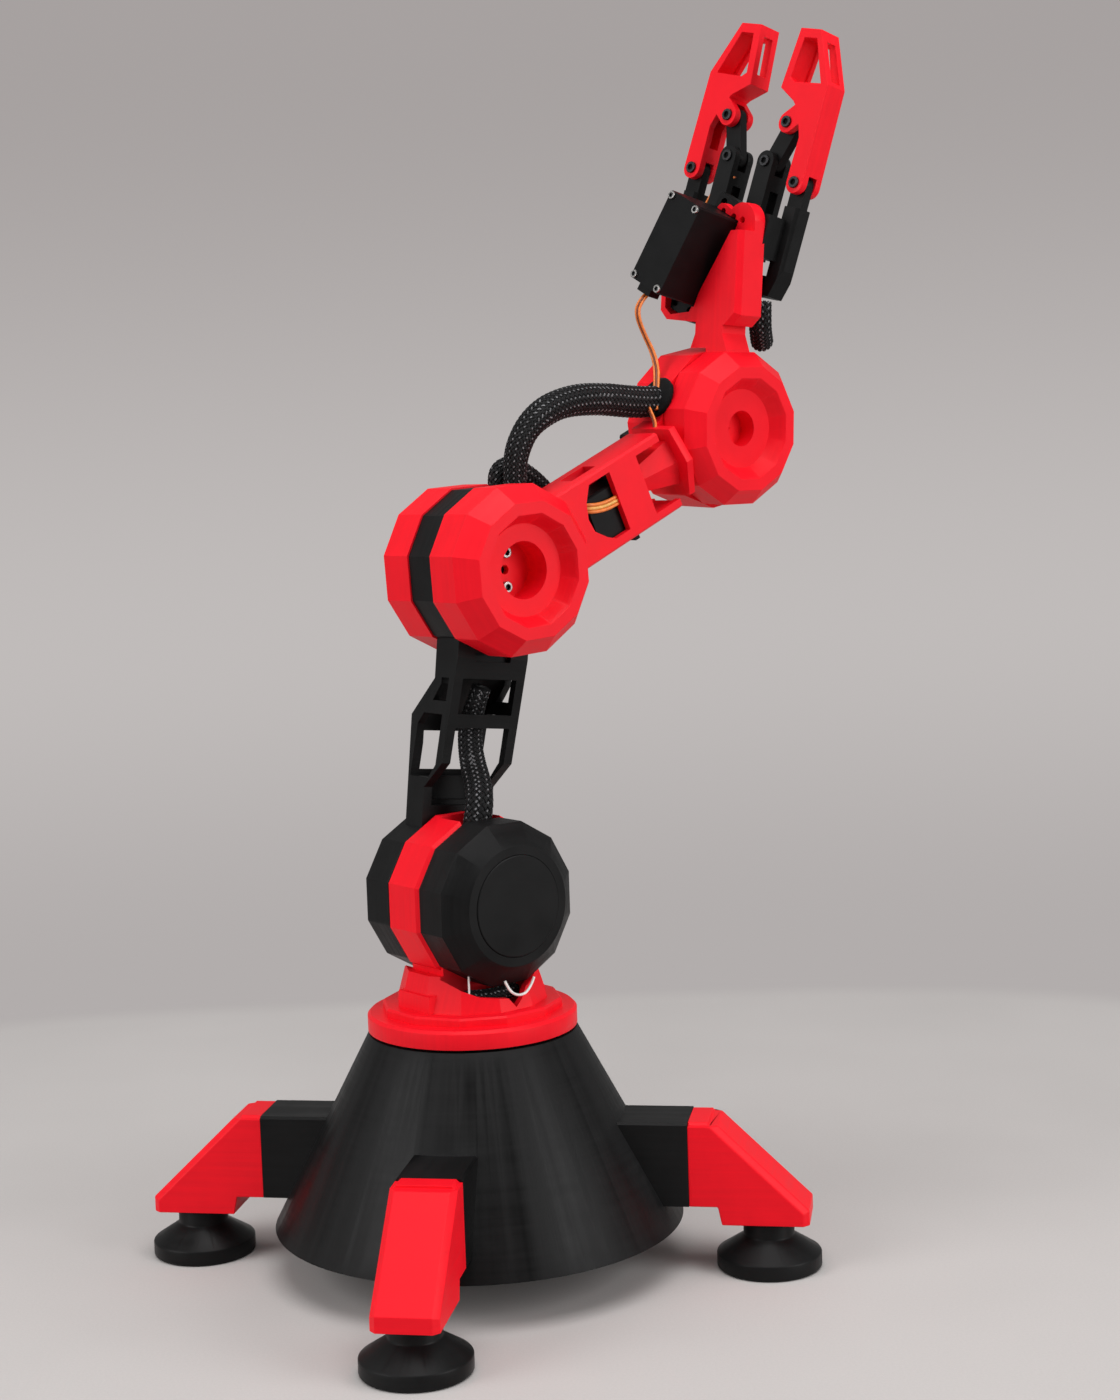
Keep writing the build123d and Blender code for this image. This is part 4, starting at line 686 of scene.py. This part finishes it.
def socket_heads(name, spots, radius, height, outside, socket_shade):
    """Cap screws with a hexagon socket, one at each place, standing along its Z; the socket is lined with the
    darker material as painted shade.
    """
    edge = radius * HEAD_EDGE
    socket = radius * SOCKET
    mouth = socket * SOCKET_MOUTH
    cap = [(radius, 0.0), (radius, height - edge), (radius - edge * 0.3, height - edge * 0.3),
           (radius - edge, height), (mouth, height)]
    hole = [(mouth, height, False), (socket, height - edge * 0.5, True), (socket, height * 0.25, True),
            (socket * 0.1, height * 0.22, False)]
    mesh = bmesh.new()
    for spot in spots:
        skin(mesh, [head_ring(spot, *ring) for ring in cap], 0, caps=False)
        # painted shade: the socket gets the darker material
        skin(mesh, [head_ring(spot, *ring) for ring in hole], 1, caps=False)
    bmesh.ops.remove_doubles(mesh, verts=mesh.verts[:], dist=SAME_VERTEX)
    bmesh.ops.holes_fill(mesh, edges=[e for e in mesh.edges if e.is_boundary], sides=HEAD_SIDES)
    for face in mesh.faces:
        face.smooth = False
    return finish_mesh(name, mesh, outside, socket_shade)


def pin_spots(pin, *sides):
    """Where a pin of the gripper shows, on the right (-1) or the left (1)."""
    return [GRIP @ shift(PIN_FACE, side * pin[0], pin[1]) @ turn("Y", -90) for side in sides]


hub = FOREARM @ turn("Y", FOREARM_RISE)
hub_spots = [hub @ shift(0, HUB_FACE, z) @ turn("X", 90) for z in (-HUB_SCREWS, HUB_SCREWS)]
cover_spots = [GRIP @ shift(COVER_FACE, y, z) @ turn("Y", -90) for y, z in COVER_SPOTS]
HEADS = [                     # name, places, radius, height, outside, socket_shade, body, node
    ("elbow_socket_screws", hub_spots, 2.3, 1.9, steel, dark_steel, "forearm", "elbow_hub_screws"),
    ("gripper_socket_screws", cover_spots, 1.75, 1.1, steel, dark_steel, "hand", "gripper_cover_screws"),
    ("hinge_heads", pin_spots(LOWER_PIN, -1, 1), 2.5, 1.3, dark_steel, shade_black, "hand", None),
    ("fork_heads", pin_spots(JOINT_PIN, -1, 1), 2.5, 1.3, dark_steel, shade_black, "fork", None),
    ("link_heads_right", pin_spots(MIDDLE_PIN, -1), 2.5, 1.3, dark_steel, shade_black, "finger_right", None),
    ("link_heads_left", pin_spots(MIDDLE_PIN, 1), 2.5, 1.3, dark_steel, shade_black, "finger_left", None),
]
for name, spots, radius, height, outside, socket_shade, body, node in HEADS:
    heads = socket_heads(name, spots, radius * MM, height * MM, outside, socket_shade)
    carry(heads, (body,), node)

# ---------------------------------------------------------------- floor, backdrop, light and camera
VIEW_TURN = 39.0              # degrees
VIEW_DOWN = 6.0
VIEW_ROLL = 1.9
CAMERA_PLACE = Vector((-0.5483, -0.7407, 0.3276))
SENSOR = 36.0                 # mm along the picture's longer side
FOCAL = 58.963
AIM = Vector((0, 0, 0.26))    # what the lamps look at
FLOOR_HALF = 0.60
FLOOR_CELLS = 40
FLOOR_ROUND = 4.0             # power of the rounded square in which the floor fades
FADE_START = 0.435
FADE_END = 0.475
LOWEST_SEEN = -0.21           # z of the way that the camera looks, at the backdrop's foot
HIGHEST_SEEN = 0.17
BACKDROP_PEAK = 0.36          # where the backdrop is lightest, between these two
STUDIO_LIGHT = (1.0, 0.99, 0.98)
STUDIO_STRENGTH = 0.30


def make_floor():
    """A pale floor that fades into the backdrop towards its edges."""
    mesh = bmesh.new()
    bmesh.ops.create_grid(mesh, x_segments=FLOOR_CELLS, y_segments=FLOOR_CELLS, size=FLOOR_HALF)
    floor = finish_mesh("studio_floor", mesh)
    floor.matrix_world = turn("Z", -VIEW_TURN)
    shader = Shader("studio_floor", FLOOR, 0.85)
    shader.put({"Specular IOR Level": 0.15})
    grain = shader.noise(shader.coords, scale=900.0, detail=3.0, roughness=0.7)
    cloud = shader.noise(shader.coords, scale=9.0, detail=2.0, roughness=0.5)
    shader.tint(shader.spread(shader.mixed(grain, 0.6, cloud, 0.4)), scaled(FLOOR, 0.95), scaled(FLOOR, 1.05))
    shader.bump(grain, distance=0.0002, strength=0.25)
    nodes = shader.nodes
    parts = nodes.new("ShaderNodeSeparateXYZ")
    shader.link(shader.coords, parts.inputs[0])
    sides = [shader.math("ABSOLUTE", parts.outputs[side], 0.0) for side in "XY"]
    powers = [shader.math("POWER", side, FLOOR_ROUND) for side in sides]
    far = shader.math("POWER", shader.math("ADD", *powers), 1 / FLOOR_ROUND)
    fade = nodes.new("ShaderNodeMapRange")
    fade.interpolation_type = "SMOOTHSTEP"
    shader.link(far, fade.inputs["Value"])
    fade.inputs["From Min"].default_value = FADE_START
    fade.inputs["From Max"].default_value = FADE_END
    light = nodes.new("ShaderNodeEmission")
    light.inputs["Color"].default_value = (*BACKDROP_LOW, 1)
    rays = nodes.new("ShaderNodeLightPath")
    seen = shader.math("MULTIPLY", fade.outputs["Result"], rays.outputs["Is Camera Ray"])
    mix = nodes.new("ShaderNodeMixShader")
    shader.link(seen, mix.inputs["Fac"])
    shader.link(shader.bsdf.outputs[0], mix.inputs[1])
    shader.link(light.outputs[0], mix.inputs[2])
    shader.link(mix.outputs[0], nodes["Material Output"].inputs["Surface"])
    floor.data.materials.append(shader.mat)


def make_world():
    """Even studio light, and a plain grey backdrop where the camera looks past the floor."""
    world = bpy.data.worlds.new("studio")
    bpy.context.scene.world = world
    world.use_nodes = True
    nodes, links = world.node_tree.nodes, world.node_tree.links
    soft = nodes["Background"]
    soft.inputs["Color"].default_value = (*STUDIO_LIGHT, 1)
    soft.inputs["Strength"].default_value = STUDIO_STRENGTH
    seen = nodes.new("ShaderNodeBackground")
    way = nodes.new("ShaderNodeTexCoord")
    parts = nodes.new("ShaderNodeSeparateXYZ")
    links.new(way.outputs["Generated"], parts.inputs[0])
    climb = nodes.new("ShaderNodeMapRange")
    climb.inputs["From Min"].default_value = LOWEST_SEEN
    climb.inputs["From Max"].default_value = HIGHEST_SEEN
    links.new(parts.outputs["Z"], climb.inputs["Value"])
    ramp = nodes.new("ShaderNodeValToRGB")
    links.new(climb.outputs["Result"], ramp.inputs["Fac"])
    ramp.color_ramp.interpolation = "EASE"
    ramp.color_ramp.elements[0].color = (*BACKDROP_LOW, 1)
    ramp.color_ramp.elements[1].color = (*BACKDROP_TOP, 1)
    ramp.color_ramp.elements.new(BACKDROP_PEAK).color = (*BACKDROP_MID, 1)
    links.new(ramp.outputs["Color"], seen.inputs["Color"])
    rays = nodes.new("ShaderNodeLightPath")
    mix = nodes.new("ShaderNodeMixShader")
    links.new(rays.outputs["Is Camera Ray"], mix.inputs["Fac"])
    links.new(soft.outputs[0], mix.inputs[1])
    links.new(seen.outputs[0], mix.inputs[2])
    links.new(mix.outputs[0], nodes["World Output"].inputs["Surface"])


def soft_box(name, bearing, distance, height, size, power):
    """A rectangular soft light, bearing degrees left (-) or right (+) of the camera, aimed at the arm."""
    angle = math.radians(-90 - VIEW_TURN + bearing)
    place = Vector((math.cos(angle) * distance, math.sin(angle) * distance, height))
    lamp = bpy.data.lights.new(name, "AREA")
    lamp.shape = "RECTANGLE"
    lamp.size, lamp.size_y = size
    lamp.energy = power
    holder = bpy.data.objects.new(name, lamp)
    holder.location = place
    holder.rotation_mode = "QUATERNION"
    holder.rotation_quaternion = (AIM - place).to_track_quat("-Z", "Y")
    bpy.context.scene.collection.objects.link(holder)


def make_camera():
    """The camera at the viewing angle of the picture."""
    turned, down, roll = (math.radians(v) for v in (VIEW_TURN, VIEW_DOWN, VIEW_ROLL))
    ahead = Vector((math.sin(turned) * math.cos(down), math.cos(turned) * math.cos(down), -math.sin(down)))
    right = Vector((math.cos(turned), -math.sin(turned), 0))
    up = right.cross(ahead)
    tilted_right = right * math.cos(roll) - up * math.sin(roll)
    tilted_up = right * math.sin(roll) + up * math.cos(roll)
    lens = bpy.data.cameras.new("camera")
    lens.sensor_width = SENSOR
    lens.lens = FOCAL
    lens.clip_start = 0.01
    camera = bpy.data.objects.new("camera", lens)
    camera.matrix_world = Matrix((tilted_right, tilted_up, -ahead)).transposed().to_4x4()
    camera.location = CAMERA_PLACE
    bpy.context.scene.collection.objects.link(camera)
    bpy.context.scene.camera = camera


make_floor()
make_world()
soft_box("soft_left", bearing=-64, distance=1.5, height=0.80, size=(0.9, 1.2), power=14.5)
soft_box("soft_right", bearing=62, distance=1.6, height=0.70, size=(0.9, 1.2), power=16.5)
soft_box("soft_top", bearing=20, distance=0.35, height=1.55, size=(1.1, 1.1), power=14.0)
make_camera()
bpy.context.scene.view_settings.view_transform = "Standard"
